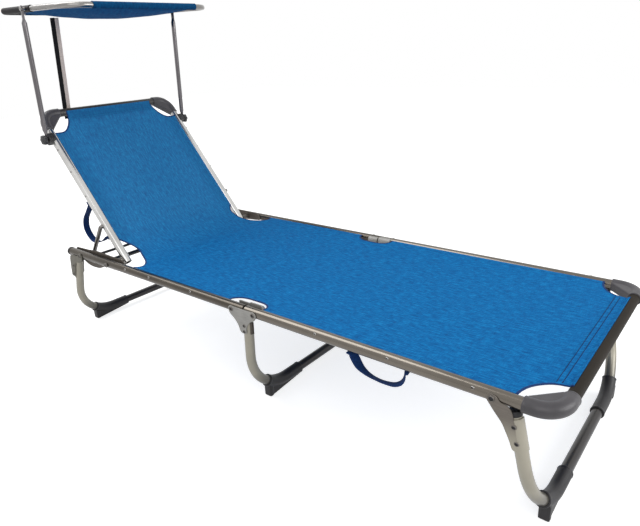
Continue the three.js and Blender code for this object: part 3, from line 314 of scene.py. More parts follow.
def placed(name, mesh, material, sharp):
    """A mesh as a smooth-shaded piece, with hard edges where its faces turn sharply."""
    piece = bpy.data.objects.new(name, mesh)
    bpy.context.scene.collection.objects.link(piece)
    mesh.shade_smooth()
    mesh.set_sharp_from_angle(angle=radians(sharp))
    mesh.materials.append(material)
    return piece

def mesh_of(shape, mesh):
    """The bmesh written to the mesh, its faces turned outwards."""
    bmesh.ops.recalc_face_normals(shape, faces=shape.faces)
    shape.to_mesh(mesh)
    shape.free()
    return mesh

def mesh_piece(name, verts, faces, material, sharp=38, uvs=None):
    mesh = bpy.data.meshes.new(name)
    mesh.from_pydata([tuple(v) for v in verts], [], faces)
    mesh.validate()
    shape = bmesh.new()
    shape.from_mesh(mesh)
    mesh_of(shape, mesh)
    if uvs is not None:
        layer = mesh.uv_layers.new(name="UVMap")
        for loop in mesh.loops:
            layer.data[loop.index].uv = uvs[loop.vertex_index]
    return placed(name, mesh, material, sharp)

def dress(piece, body, node):
    """The piece rides a body and stands for a node of the part."""
    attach(piece, body)
    if node:
        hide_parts(node)

def stations(points, bend, steps=14):
    """Places and directions along straight runs joined by round bends, in metres."""
    points = [Vector(p) for p in points]
    made = [(points[0], (points[1] - points[0]).normalized())]
    for before, here, after in zip(points, points[1:], points[2:]):
        into, out = (here - before).normalized(), (after - here).normalized()
        angle = into.angle(out)
        inward = (out - into * into.dot(out)).normalized()
        start = here - into * bend * tan(angle / 2)
        for k in range(steps + 1):
            turn = angle * k / steps
            place = start + into * bend * sin(turn) + inward * bend * (1 - cos(turn))
            made.append((place, into * cos(turn) + inward * sin(turn)))
    made.append((points[-1], (points[-1] - points[-2]).normalized()))
    return made

def lofted(name, sections, material, sharp=38, uvs=None):
    """A closed skin over loops of the same number of points."""
    count, last = len(sections[0]), len(sections) - 1
    verts = [p for section in sections for p in section]
    faces = []
    for i in range(last):
        for j in range(count):
            a, b = i * count + j, i * count + (j + 1) % count
            faces.append((a, b, b + count, a + count))
    faces += [tuple(reversed(range(count))), tuple(range(last * count, (last + 1) * count))]
    return mesh_piece(name, verts, faces, material, sharp, uvs)

def circle(count):
    return [(cos(2 * pi * i / count), sin(2 * pi * i / count)) for i in range(count)]

def ring_at(place, along, radius, sides, up):
    across = along.cross(Vector(up)).normalized()
    up = across.cross(along).normalized()
    return [place + across * (radius * c) + up * (radius * s) for c, s in circle(sides)]

BORE_DEPTH = 0.018  # how far in a tube's bore is closed, in metres

def tube(name, points, radius, material, bend=0.0, up=(1, 0, 0), sides=36, steps=14, wall=1.2):
    """A hollow tube with rounded rims; its bore is closed some way in."""
    radius, wall = radius / 1000, wall / 1000
    path = stations(points, bend / 1000, steps)
    (start, into), (end, out) = path[0], path[-1]
    bore, rim = radius - wall, wall * 0.35
    lip = [(BORE_DEPTH, bore), (rim, bore), (0, bore + rim), (0, radius - rim), (rim, radius)]
    sections = [ring_at(start + into * d, into, r, sides, up) for d, r in lip]
    sections += [ring_at(p, d, radius, sides, up) for p, d in path[1:-1]]
    sections += [ring_at(end - out * d, out, r, sides, up) for d, r in reversed(lip)]
    return lofted(name, sections, material)

def rod(name, path, radius, material, up=(1, 0, 0), sides=24, dome=True):
    """A solid rod along stations, with softly rounded ends."""
    radius /= 1000
    (start, into), (end, out) = path[0], path[-1]
    ends = [(0.55, 0.0), (0.85, 0.08), (1.0, 0.3)] if dome else [(1.0, 0.0)]
    sections = [ring_at(start + into * radius * d, into, radius * r, sides, up) for r, d in ends]
    sections += [ring_at(p, d, radius, sides, up) for p, d in path[1:-1]]
    sections += [ring_at(end - out * radius * d, out, radius * r, sides, up) for r, d in reversed(ends)]
    return lofted(name, sections, material)

def turned(name, origin, axis, profile, material, sides=32):
    """A turned piece: [radius, distance along the axis] pairs, in millimetres."""
    axis = Vector(axis).normalized()
    up = (0, 0, 1) if abs(axis.z) < 0.9 else (1, 0, 0)
    sections = [ring_at(origin + axis * (d / 1000), axis, max(r, 0.02) / 1000, sides, up) for r, d in profile]
    return lofted(name, sections, material, 35)

def joined(name, pieces):
    """Several meshes as one piece, each keeping its own material."""
    for o in bpy.context.selected_objects:
        o.select_set(False)
    for p in pieces:
        p.select_set(True)
    bpy.context.view_layer.objects.active = pieces[0]
    bpy.ops.object.join()
    whole = bpy.context.view_layer.objects.active
    whole.name = whole.data.name = name
    whole.select_set(False)
    return whole

def modified(piece, *kinds):
    """The piece with new modifiers, given as kind and settings, applied in order."""
    for kind, settings in kinds:
        modifier = piece.modifiers.new(kind.lower(), kind)
        for key, value in settings.items():
            setattr(modifier, key, value)
    graph = bpy.context.evaluated_depsgraph_get()
    mesh = bpy.data.meshes.new_from_object(piece.evaluated_get(graph))
    piece.modifiers.clear()
    piece.data = mesh
    return piece

def fused(name, pieces, material, voxel, rounds, faces):
    """Overlapping closed shapes run together as one moulding with filleted joins."""
    whole = modified(joined(name, pieces), ("REMESH", {"mode": "VOXEL", "voxel_size": voxel / 1000}),
                     ("SMOOTH", {"factor": 0.5, "iterations": rounds}))
    modified(whole, ("DECIMATE", {"ratio": min(1.0, faces / max(len(whole.data.polygons) * 2, 1))}))
    whole.data.materials.clear()
    whole.data.materials.append(material)
    whole.data.shade_smooth()
    whole.data.set_sharp_from_angle(angle=radians(60))
    return whole

def rounded_outline(points, radius, steps=5):
    """A closed outline with each corner rounded, as far as its edges allow."""
    made = []
    count = len(points)
    for i in range(count):
        before, here, after = (Vector(points[j % count]) for j in (i - 1, i, i + 1))
        into, out = (before - here), (after - here)
        reach = min(radius, into.length * 0.48, out.length * 0.48)
        a, b = here + into.normalized() * reach, here + out.normalized() * reach
        for k in range(steps + 1):
            t = k / steps
            made.append(a * (1 - t) ** 2 + here * 2 * t * (1 - t) + b * t ** 2)
    return made

def plate(name, outline, near, far, side, material, corner, edge, place=at):
    """A plate between two distances from the middle plane, its edges slightly broken."""
    shape = bmesh.new()
    face = shape.faces.new([shape.verts.new(place(side * near, y, z)) for y, z in rounded_outline(outline, corner)])
    moved = bmesh.ops.extrude_face_region(shape, geom=[face])
    far_verts = {v for v in moved["geom"] if isinstance(v, bmesh.types.BMVert)}
    bmesh.ops.translate(shape, verts=list(far_verts), vec=place(side * far, 0, 0) - place(side * near, 0, 0))
    shape.normal_update()
    rims = [e for e in shape.edges if (e.verts[0] in far_verts) == (e.verts[1] in far_verts)]
    bmesh.ops.bevel(shape, geom=rims, offset=edge / 1000, segments=2, profile=0.7, affect="EDGES")
    return placed(name, mesh_of(shape, bpy.data.meshes.new(name)), material, 32)

def block(name, side, xs, ys, zs, material, edge, place=at):
    """A box with rounded edges, between two places each way."""
    shape = bmesh.new()
    spans = sorted(side * x for x in xs), ys, zs
    verts = [shape.verts.new(place(*(spans[k][(i >> k) & 1] for k in range(3)))) for i in range(8)]
    for quad in ((0, 1, 3, 2), (4, 6, 7, 5), (0, 4, 5, 1), (2, 3, 7, 6), (0, 2, 6, 4), (1, 5, 7, 3)):
        shape.faces.new([verts[i] for i in quad])
    bmesh.ops.recalc_face_normals(shape, faces=shape.faces)
    bmesh.ops.bevel(shape, geom=shape.edges[:], offset=edge / 1000, segments=3, profile=0.6, affect="EDGES")
    return placed(name, mesh_of(shape, bpy.data.meshes.new(name)), material, 40)

# ---------------------------------------------------------------- frame tubes

MOUTH = 37.3  # a tube's end inside an elbow, from the corner
HEAD_SEAT = 317.1  # where rivet heads sit, outside the brackets
SCREW_SEAT = 312.6  # where screw heads sit on the rails
SCREW_UP = 5.5  # their height over the rail's axis
RAIL_GAP = 2.5  # from a rail's end to the hinge's middle

def rivet(name, side, y, z, radius, height, material=RIVET, seat=HEAD_SEAT, place=at):
    """A hollow rivet: a rolled rim round its bore, whose shade is painted as a black disc a little way in."""
    rim = [(1, 0), (1, 0.35), (0.9, 0.8), (0.76, 1), (0.7, 0.86), (0.66, 0.4)]
    # painted shade: the bore is a shallow black disc
    bore = [(0.65, 0.3), (0.65, 0.5), (0, 0.46)]
    where = place(side * seat, y, z), (side, 0, 0)
    return joined(name, [turned("part", *where, [(radius * r, height * h) for r, h in profile], look, sides)
                         for profile, look, sides in ((rim, material, 24), (bore, BLACK, 20))])

# Each half rail's start, end, lacquer and screws
HALVES = {"foot": (MOUTH, HINGE_Y - RAIL_GAP, RAIL, (515, 330, 150)),
          "head": (HINGE_Y + RAIL_GAP, RAIL_HEAD_Y, HEAD_RAIL_PAINTED_DARK, (938, 1120, 1236))}
RAIL_CAP = [(11, -13), (11, 0.3), (13.1, 0.3), (13.5, 0.9), (13.5, 6), (12.9, 9), (10.8, 11.4), (6, 12), (0, 12)]
for name, side in SIDES:
    for half, (start, end, material, spots) in HALVES.items():
        ends = [at(side * RAIL_X, y, RAIL_Z) for y in (start, end)]
        parts = [tube("rail", ends, TUBE_R, material)]
        parts += [rivet("screw", side, y, RAIL_Z + SCREW_UP, 3.6, 2.0, BRIGHT, SCREW_SEAT) for y in spots]
        dress(joined(f"{half}_rail_{name}_tube", parts), f"{half}_frame", f"{half}_rail_{name}")
    cap = turned(f"head_rail_end_cap_{name}", at(side * RAIL_X, RAIL_HEAD_Y, RAIL_Z), (0, 1, 0), RAIL_CAP, BLACK, 40)
    dress(cap, "head_frame", f"head_rail_cap_{name}")

def crossbar(name, place, half, along, radius, material, up, **shape):
    """A straight tube from side to side."""
    return tube(name, [place(-half, along, 0), place(half, along, 0)], radius, material, up=up, **shape)

bar = crossbar("foot_bar_tube", lambda x, y, z: at(x, y, z + RAIL_Z), RAIL_X - MOUTH, 0, TUBE_R, FOOT_BAR, (0, 0, 1))
dress(bar, "foot_frame", "foot_bar")

class Corner:
    """Points in the plane of a frame corner: inwards, along the side and out of the plane."""

    def __init__(self, point, side, along, normal):
        self.point, self.inward, self.along, self.normal = point, Vector((-side, 0, 0)), along, normal

    def __call__(self, a, b, n=0.0):
        return self.point + (self.inward * a + self.along * b + self.normal * n) / 1000

def elbow(name, place, radius, bend, reach_a, reach_b, web, material):
    """A corner moulding: bent barrel, web across the inside and a bead at each mouth."""
    r = radius
    path = stations([place(0, reach_a), place(0, 0), place(reach_b, 0)], bend / 1000, 20)
    parts = [rod("barrel", path, r, material, up=place.normal, sides=40, dome=False)]
    bead = [(r - 0.5, -0.6), (r + 0.55, 0.2), (r + 0.6, 2.6), (r, 3.3)]
    for a, b, da, db in ((0, reach_a, 0, -1), (reach_b, 0, -1, 0)):
        start = place(a + da * 3.4, b + db * 3.4)
        parts.append(turned("bead", start, place(a, b) - start, bead, material, 40))
    k = min(reach_a, reach_b)
    outline = [(bend * 0.2, 1), (1, bend * 0.2), (1, k - 1.5), (r - 1, k - 1.5), (k - 1.5, r - 1), (k - 1.5, 1)]
    parts.append(plate("fill", rounded_outline(outline, 3.0, 3), -web / 2, web / 2, 1, material, 0.5, 4.2,
                       lambda n, u, v: place(u, v, n)))
    return fused(name, parts, material, 0.95, 5, 9000)

ELBOW_SIZES = 15.2, 45, 62, 62, 22  # radius, bend, the reach of each leg, and the web's thickness
CANOPY_ELBOW_SIZES = 9.6, 35, 202, 62, 13
for name, side in SIDES:
    for kind, body, corner in (
            ("foot", "foot_frame", Corner(at(side * RAIL_X, 0, RAIL_Z), side, Vector((0, 1, 0)), Vector((0, 0, 1)))),
            ("backrest", "backrest", Corner(back(side * BACK_X, BACK_LENGTH, 0), side, -back_up, back_out))):
        piece = elbow(f"{kind}_corner_{name}", corner, *ELBOW_SIZES, ELBOW)
        dress(piece, body, f"{kind}_elbow_{name}")

# ---------------------------------------------------------------- legs

LEG_AXIS_Z = 25.2
LEG_TOP_Z = 254
LEG_BEND = 130
# Where each leg's top and floor ends stand, and how far below its top the rivets are
LEGS = {"foot": (74, 21, (17, 50)), "mid": (736, 748, (10, 26)), "head": (1525, 1598, (17, 50))}
SHOE_IN, SHOE_OUT = 124, 249.3  # a shoe's two ends along the cross tube
FOLD_PINS = {"foot": 113, "head": 1486}
SHEET_IN, SHEET_OUT = 314.8, 316.8  # the faces of a bracket's sheet
BOSS_X = 316.4
FOOT_WIDE, HEAD_WIDE, BRACKET_HIGH = 60, 80, 96
CHEEK_IN, CHEEK_OUT = 289.4, 291
HEAD_RIVETS_AHEAD = 9  # from the leg's axis
PIN = 6.2, 2.7  # a hinge pin's head: its radius and height
LEG_RIVET = 4.6, 2.0
MID_WIDE, MID_HIGH = 37, 60
COVER_X = 289.1  # the inner side of the rails

def leg_frame(leg):
    top, floor, _ = LEGS[leg]
    lean = atan2(floor - top, LEG_TOP_Z - LEG_AXIS_Z)
    length = hypot(floor - top, LEG_TOP_Z - LEG_AXIS_Z)
    c, s = cos(lean), sin(lean)
    return (lambda x, up, out=0.0: at(x, floor - up * s + out * c, LEG_AXIS_Z + up * c + out * s)), length

def shoe_piece(leg, name, side):
    """A shoe: sleeve round the cross tube and its bend, and a wedge-shaped foot that grows towards the bend."""
    place, _ = leg_frame(leg)
    bend_x = RAIL_X - LEG_BEND
    reach = asin((SHOE_OUT - bend_x) / LEG_BEND)
    path = [(place(side * SHOE_IN, 0), Vector((side, 0, 0)))]
    for i in range(13):
        turn = reach * i / 12
        spot, ahead = (place(side * (bend_x + LEG_BEND * sin(t)), LEG_BEND * (1 - cos(t))) for t in (turn, turn + 0.01))
        path.append((spot, (ahead - spot).normalized()))
    parts = [rod("sleeve", path, 15.7, SHOE, up=way(place, 0, 0, 1), sides=36, dome=False)]
    lip = [(15.2, -1.2), (16.6, -0.4), (16.6, 2.2), (15.2, 3)]
    parts += [turned("lip", spot - along * 0.0016, along, lip, SHOE, 36) for spot, along in (path[0], path[-1])]
    wedge = [(SHOE_IN, 10.4), (236, 0.4), (SHOE_OUT - 1, 0.4), (SHOE_OUT, 3), (SHOE_OUT, 40), (225, 30), (200, 25),
             (SHOE_IN, 24)]
    tongue = [(236, 0.4), (SHOE_OUT + 0.6, 0.4), (SHOE_OUT + 0.6, 38), (236, 32)]
    for outline, half, corner, edge in ((wedge, 9.5, 3, 3.2), (tongue, 11.5, 4, 4.2)):
        parts.append(plate("foot", outline, -half, half, 1, SHOE, corner, edge,
                           lambda n, u, v: at(side * u, LEGS[leg][1] + n, v)))
    piece = fused(f"{leg}_shoe_{name}_moulding", parts, SHOE, 1.0, 4, 7000)
    dress(piece, f"{leg}_leg", f"{leg}_shoe_{name}")

def saddle(leg, side, low, high, angles, flange, material):
    """Sheet pressed round a leg's outer side between two angles, with a flange along its second edge."""
    place, length = leg_frame(leg)
    turns = [radians(a) for a in np.linspace(*angles, 17)]
    loop = []
    for r, shift in ((14.4, 0), (13.0, -1.4)):
        line = [(r * cos(a), r * sin(a)) for a in turns]
        if flange:
            line.append((line[-1][0] + shift * 0.2, -14.4 - flange))
        loop += line[::-1] if shift else line
    sections = [[place(side * (RAIL_X + dx), length - down, dy) for dx, dy in loop] for down in (low, high)]
    return lofted("saddle", sections, material, 40)

def rivets(leg, side, dimple, boss_x, material, ahead=0):
    """A leg's rivets in their dimples."""
    place, length = leg_frame(leg)
    parts = []
    for down in LEGS[leg][2]:
        y, z = row(place(0, length - down))
        parts.append(turned("dimple", at(side * boss_x, y + ahead, z), (side, 0, 0), dimple, material, 28))
        parts.append(rivet("rivet", side, y + ahead, z, *LEG_RIVET, seat=BOSS_X + 0.3))
    return parts

def sheet(outline, side, pin_y, width, height, corner, material, near=SHEET_IN, far=SHEET_OUT, edge=0.6):
    """A pressed plate from its outline in shares: of the width from the pin, of the height from the rail's axis."""
    shape = [(pin_y + a * width, RAIL_Z + b * height) for a, b in outline]
    return plate("sheet", shape, near, far, side, material, corner, edge)

def boss(side, y, radius, material):
    """A raised round under a pin's head."""
    profile = [(radius, 0), (radius - 0.2, 0.5), (radius - 1.2, 0.9), (5, 0.9)]
    return turned("boss", at(side * BOSS_X, y, RAIL_Z), (side, 0, 0), profile, material, 32)

def side_bracket(leg, name, side, outline, width, material):
    """A pressed side plate with its rivets, a raised pin boss and a saddle round the leg."""
    pin_y = FOLD_PINS[leg]
    parts = [sheet(outline, side, pin_y, width, BRACKET_HIGH, 7, material), boss(side, pin_y, 8.4, material)]
    if leg == "foot":
        parts.append(saddle(leg, side, 3, 68, (60, -106), 0, LEG))
    else:  # a channel that opens towards the foot end, with the leg lying in it
        parts.append(saddle(leg, side, 3, 66, (12, 140), 0, material))
        parts.append(sheet(HEAD_CHEEK, side, pin_y, width, BRACKET_HIGH, 6, RACK, CHEEK_IN, CHEEK_OUT, 0.5))
    dimple = [(5.6, -0.6), (5.6, 0.4), (5.2, 0.8), (4.4, 0.8)]
    parts += rivets(leg, side, dimple, BOSS_X - 0.2, material, HEAD_RIVETS_AHEAD if leg == "head" else 0)
    dress(joined(f"{leg}_side_bracket_{name}", parts), f"{leg}_leg", f"{leg}_bracket_{name}")
    pin = rivet(f"{leg}_fold_pin_{name}", side, pin_y, RAIL_Z, *PIN)
    dress(pin, f"{leg}_frame", f"{leg}_leg_pin_{name}")

def hinge_cover(side, start, end, half, depth):
    """A half-round channel beside the rail ends, between two places along the rail."""
    turns = np.linspace(0, pi, 19)
    sections = [[at(side * (COVER_X - depth * share * sin(t)), y, RAIL_Z + half * share * cos(t)) for t in turns]
                for y, share in ((start, 0.88), (start + 1.4, 1), (end - 1.4, 1), (end, 0.88))]
    return lofted("channel", sections, BRACKET, 40)

def mid_bracket(name, side):
    """The hinge bracket: outer sheet, a dark flange beside the leg, and half-round channels inside the rails."""
    parts = [sheet(MID_OUTLINE, side, HINGE_Y, MID_WIDE, MID_HIGH, 9, BRACKET)]
    for y in (HINGE_Y - MID_WIDE, HINGE_Y + MID_WIDE):
        parts += [boss(side, y, 9, BRACKET), rivet("pin", side, y, RAIL_Z, *PIN, seat=BOSS_X + 0.5)]
    parts += rivets("mid", side, [(7, 0), (6.8, 0.4), (5.8, 0.7), (4.6, 0.7)], BOSS_X, BRACKET)
    parts.append(saddle("mid", side, 2, 34, (-62, -94), 3, RACK))
    parts.append(hinge_cover(side, HINGE_Y - 42, HINGE_Y - RAIL_GAP, 16, 13))
    parts.append(hinge_cover(side, HINGE_Y + RAIL_GAP, HINGE_Y + 36, 13, 11))
    parts.append(block("web", side, (287.4, 316), (HINGE_Y - 18.5, HINGE_Y + 18.5), (RAIL_Z - 17, RAIL_Z - 15),
                       RACK, 0.5))
    dress(joined(f"mid_hinge_bracket_{name}", parts), "mid_leg", f"mid_bracket_{name}")

FOOT_OUTLINE = [(0, 0.095), (0.14, 0.08), (0.18, -0.03), (-0.1, -0.26), (-0.36, -0.45), (-0.6, -0.76), (-0.72, -0.96),
                (-0.9, -0.96), (-0.83, -0.7), (-0.72, -0.36), (-0.62, -0.14), (-0.5, -0.055), (-0.24, -0.03),
                (-0.16, 0.06)]
HEAD_OUTLINE = [(0, 0.095), (-0.11, 0.07), (-0.15, -0.04), (-0.08, -0.2), (0.12, -0.27), (0.44, -0.29), (0.54, -0.46),
                (0.65, -0.7), (0.72, -0.86), (0.98, -0.86), (0.92, -0.5), (0.84, -0.16), (0.74, -0.06), (0.4, -0.04),
                (0.18, -0.03), (0.1, 0.07)]
HEAD_CHEEK = [(0.34, -0.12), (0.4, -0.3), (0.5, -0.55), (0.58, -0.78), (0.95, -0.78), (0.88, -0.4), (0.8, -0.12)]
MID_OUTLINE = [(1.2, 0.12), (1.32, 0), (1.24, -0.2), (0.7, -0.46), (0.44, -0.68), (0.32, -0.98),
               (-0.2, -0.98), (-0.3, -0.62), (-0.6, -0.38), (-1.16, -0.2), (-1.28, 0), (-1.16, 0.12)]
# The foot leg's black end plug rises 11 mm, more than the plug itself, so that its black also fills the shaded gap
# under the rail: partly painted shade.
LEG_PLUG = [(10.8, -13), (10.8, 0.3), (12.2, 0.3), (12.6, 0.8), (12.6, 8.4), (11.6, 10.2), (8, 11), (0, 11)]
for leg in LEGS:
    place, length = leg_frame(leg)
    corners = [place(x, up) for x, up in ((-RAIL_X, length), (-RAIL_X, 0), (RAIL_X, 0), (RAIL_X, length))]
    piece = tube(f"{leg}_leg_bent_tube", corners, TUBE_R, LEG, bend=LEG_BEND, up=way(place, 0, 0, 1), steps=22)
    dress(piece, f"{leg}_leg", f"{leg}_leg_tube")
    for name, side in SIDES:
        shoe_piece(leg, name, side)
for name, side in SIDES:
    side_bracket("foot", name, side, FOOT_OUTLINE, FOOT_WIDE, FOOT_BRACKET)
    side_bracket("head", name, side, HEAD_OUTLINE, HEAD_WIDE, HEAD_BRACKET)
    mid_bracket(name, side)
    place, length = leg_frame("foot")
    plug = turned(f"foot_leg_end_plug_{name}", place(side * RAIL_X, length), way(place, 0, 1, 0), LEG_PLUG, BLACK, 36)
    dress(plug, "foot_leg", f"foot_leg_plug_{name}")

# ---------------------------------------------------------------- backrest, rack and prop

SCREWS_AT = 236, 330, 415  # up the backrest's tubes
for name, side in SIDES:
    parts = [tube("side", [back(side * BACK_X, s, 0) for s in (-15, BACK_LENGTH - MOUTH)], TUBE_R, BACK_TUBE)]
    parts += [rivet("screw", side, s, 4, 3.2, 1.8, BRIGHT, BACK_X + 11.4, back) for s in SCREWS_AT]
    dress(joined(f"backrest_side_tube_{name}", parts), "backrest", f"backrest_tube_{name}")
top = crossbar("backrest_top_tube", back, BACK_X - MOUTH, BACK_LENGTH, TUBE_R, TOP_BAR, back_out)
dress(top, "backrest", "backrest_top_bar")

RACK_Y, RACK_LONG = 1268, 284
RACK_UP, RACK_DOWN = 20, 41  # its height over and under the rail's axis
RACK_IN, RACK_OUT = 286.2, 289.2
LEDGE_IN, LEDGE_OUT = 274.2, 286.6
PIVOT_X = 247  # the inner end of a backrest bolt
BRACE_R = 7
PROP_X, PROP_PIN_X, PROP_BAR_X = 265, 248.8, 285.9  # a leg, its pin's end and the bar's end
PROP_R, PROP_BAR_R, PROP_BEND = 6.3, 4.5, 6.6
RACK_OUTLINE = [(0, -0.2), (0, 0.2), (0.08, 0.85), (0.3, 0.9), (0.55, 1), (0.75, 0.75), (1, 0.6), (1, -0.62),
                (0.87, -0.66), (0.8, -0.9), (0.7, -1), (0.56, -0.95), (0.47, -0.72), (0.33, -0.38), (0.2, -0.3),
                (0.08, -0.26)]
LEDGE_Y, LEDGE_END, LEDGE_Z, LEDGE_LOW = 1334, 1551.6, 256.1, 253.1
HOLLOW_START, HOLLOW_PITCH, HOLLOW_DEPTH = 1352, 24.9, 1.1  # the catches along the ledge
BACK_BOLT = [(4, 0), (4, 12.3), (8, 12.3), (8, 38.9), (4, 38.9), (4, 67.8), (7.2, 67.8), (7.5, 68.4), (7.5, 70.2),
             (5.6, 71.8), (3.6, 71.8), (3.2, 70.6), (0, 70.4)]

def ledge_outline():
    """The rack's ledge, with a row of shallow catches for the prop's bar."""
    top = []
    for y in np.arange(LEDGE_Y, LEDGE_END, 2.0):
        phase = ((y - HOLLOW_START) % HOLLOW_PITCH) / HOLLOW_PITCH
        hollow = HOLLOW_DEPTH * exp(-(((phase - 0.5) / 0.22) ** 2)) if y > HOLLOW_START else 0.0
        top.append((float(y), LEDGE_Z - hollow))
    return [(LEDGE_Y, LEDGE_LOW), (LEDGE_END, LEDGE_LOW), *reversed(top)]

for name, side in SIDES:
    shape = [(RACK_Y + a * RACK_LONG, RAIL_Z + b * (RACK_UP if b > 0 else RACK_DOWN)) for a, b in RACK_OUTLINE]
    parts = [plate("sheet", shape, RACK_IN, RACK_OUT, side, RACK, 9, 0.7),
             plate("ledge", ledge_outline(), LEDGE_IN, LEDGE_OUT, side, RACK, 0.4, 0.3)]
    dress(joined(f"rack_{name}_pressing", parts), "head_frame", f"rack_{name}")
    bolt = turned(f"backrest_pivot_{name}", at(side * PIVOT_X, PIVOT_Y, RAIL_Z), (side, 0, 0), BACK_BOLT, RIVET, 36)
    dress(bolt, "head_frame", f"backrest_pivot_bolt_{name}")
brace = crossbar("cross_brace_tube", lambda x, y, z: at(x, y, z + BRACE_Z), RACK_OUT, BRACE_Y, BRACE_R, DARK_ROD,
                 (0, 0, 1), wall=1)
dress(brace, "head_frame", "cross_brace")

bar = stations([prop(x, PROP_LENGTH, 0) for x in (-PROP_BAR_X, PROP_BAR_X)], 0)
parts = [rod("bar", bar, PROP_BAR_R, DARK_ROD, up=(0, 0, 1))]
for side in (-1, 1):
    bent = [prop(side * x, along, 0) for x, along in ((PROP_PIN_X, 0), (PROP_X, 0), (PROP_X, PROP_LENGTH))]
    parts.append(rod("leg", stations(bent, PROP_BEND / 1000, 8), PROP_R, PROP, up=prop(0, 0, 1) - prop(0, 0, 0)))
dress(joined("prop_bent_rod", parts), "prop", "prop_bail")

# ---------------------------------------------------------------- canopy frame

ROD_R, FLAT_R = 7.5, 2.0  # an arm's radius, and half its thickness where it is flattened
ARM_STOPS = [(-9, 0.3), (-8.2, 0.75), (-5, 0.93), (0, 1), (14, 1), (17, 0.97), (30, 0), (60, 0),
             (321, 0), (342, 0), (353, 0.97), (357, 1), (381, 1), (386, 0.93), (389.2, 0.75), (390, 0.3)]
RING_BOLT = [(3, 0), (3, 9.5), (5.5, 9.5), (5.5, 15.2), (3, 15.2), (3, 19.8), (6.5, 19.8), (6.7, 20.3), (6.7, 22),
             (5, 23), (2.6, 23.2), (2.2, 22.4), (0, 22.2)]
RING_BOLT_X = 253
RING_TAIL = 13.7  # how far the front tube runs past the arms' tops
RING_BEND = 70
CLAMP_IN, CLAMP_OUT, CLAMP_HALF, CLAMP_HIGH = 247, 268.2, 13.2, 16.2
RIB_HALF, RIB_OVER, RIB_PITCH = 1.2, 1.2, 8
SHANK_X, SHANK_R = 261.5, 3
KNOB_SEAT = ARM_X + 2.3
KNOB_PROFILE = [(12.5, 0, 0.4), (14.6, 0.3, 0.8), (15.6, 1.6, 1), (16, 4, 1), (16, 8.6, 1), (15.4, 11, 1),
                (13.8, 12.6, 0.9), (11, 13, 0.5), (8, 12.4, 0.1), (6.6, 12.4, 0), (6, 13.4, 0), (4.4, 13.9, 0),
                (0.2, 14, 0)]
LOBES, LOBE_DEPTH = 6, 1.5

def canopy_arm(name, side):
    """A rod that is flattened at both ends, and the bolt at its top."""
    sections = []
    for spot, press in ARM_STOPS:
        end = spot < 0 or spot > ARM_LENGTH
        flat = 1.0 if end else press
        wide = ROD_R * (1.06 * press if end else 1 + 0.06 * flat)
        thick = ROD_R + (FLAT_R - ROD_R) * flat
        sections.append([arms(side * ARM_X + thick * c, spot, wide * s) for c, s in circle(32)])
    piece = lofted(f"canopy_arm_{name}_tube", sections, ARM, 50)
    dress(piece, "canopy_arms", f"canopy_arm_{name}")
    bolt = turned(f"canopy_pivot_{name}", arms(side * RING_BOLT_X, ARM_LENGTH, 0), (side, 0, 0), RING_BOLT, BRIGHT, 30)
    dress(bolt, "canopy_arms", f"canopy_bolt_{name}")

def clamp(name, side):
    """A saddle on the outer half of the backrest's tube, with ribs."""
    parts = [block("saddle", side, (CLAMP_IN, CLAMP_OUT), (CLAMP_AT - CLAMP_HALF, CLAMP_AT + CLAMP_HALF),
                   (-CLAMP_HIGH, CLAMP_HIGH), KNOB, 3.2, back)]
    rib_high = CLAMP_HIGH + RIB_OVER
    for s in (CLAMP_AT - RIB_PITCH, CLAMP_AT, CLAMP_AT + RIB_PITCH):
        parts.append(block("rib", side, (CLAMP_IN + 1.5, CLAMP_OUT - 2.2), (s - RIB_HALF, s + RIB_HALF),
                           (-rib_high, rib_high), KNOB, 0.8, back))
    dress(joined(f"canopy_clamp_{name}_saddle", parts), "backrest", f"canopy_clamp_{name}")

def knob(name, side):
    """A grip with lobes and a raised boss, on its shank."""
    sections = []
    for radius, height, depth in KNOB_PROFILE:
        section = []
        for i in range(96):
            turn = 2 * pi * i / 96
            lobed = radius - LOBE_DEPTH * depth * (1 - cos(LOBES * turn))
            section.append(at(side * (KNOB_SEAT + height), ARM_BASE_Y + lobed * cos(turn),
                              ARM_BASE_Z + lobed * sin(turn)))
        sections.append(section)
    grip = lofted("grip", sections, KNOB, 45)
    path = stations([at(side * x, ARM_BASE_Y, ARM_BASE_Z) for x in (SHANK_X, KNOB_SEAT + 4)], 0)
    piece = joined(f"canopy_knob_{name}_grip", [grip, rod("shank", path, SHANK_R, RIVET, up=(0, 0, 1))])
    dress(piece, f"knob_{name}", f"canopy_knob_{name}")

for name, side in SIDES:
    canopy_arm(name, side)
    clamp(name, side)
    knob(name, side)

route = (-RING_X, RING_TAIL), (-RING_X, RING_FRONT), (RING_X, RING_FRONT), (RING_X, RING_TAIL)
front = tube("canopy_front_bent_tube", [ring(x, y, 0) for x, y in route], RING_R, RING, RING_BEND, ring_out, 32, 18, 1)
dress(front, "canopy", "canopy_front_tube")
rear = crossbar("canopy_rear_tube", ring, RING_X - MOUTH, RING_REAR, RING_R, RING, ring_out, wall=1, sides=32)
dress(rear, "canopy", "canopy_rear_bar")
for name, side in SIDES:
    corner = Corner(ring(side * RING_X, RING_REAR, 0), side, -ring_along, ring_out)
    piece = elbow(f"canopy_corner_{name}", corner, *CANOPY_ELBOW_SIZES, CANOPY_END)
    dress(piece, "canopy", f"canopy_elbow_{name}")

# ---------------------------------------------------------------- fabric

EDGE_STEP = 3.0  # between the points of a cut edge
STITCH_STEP = 6  # between the points of a seam's line

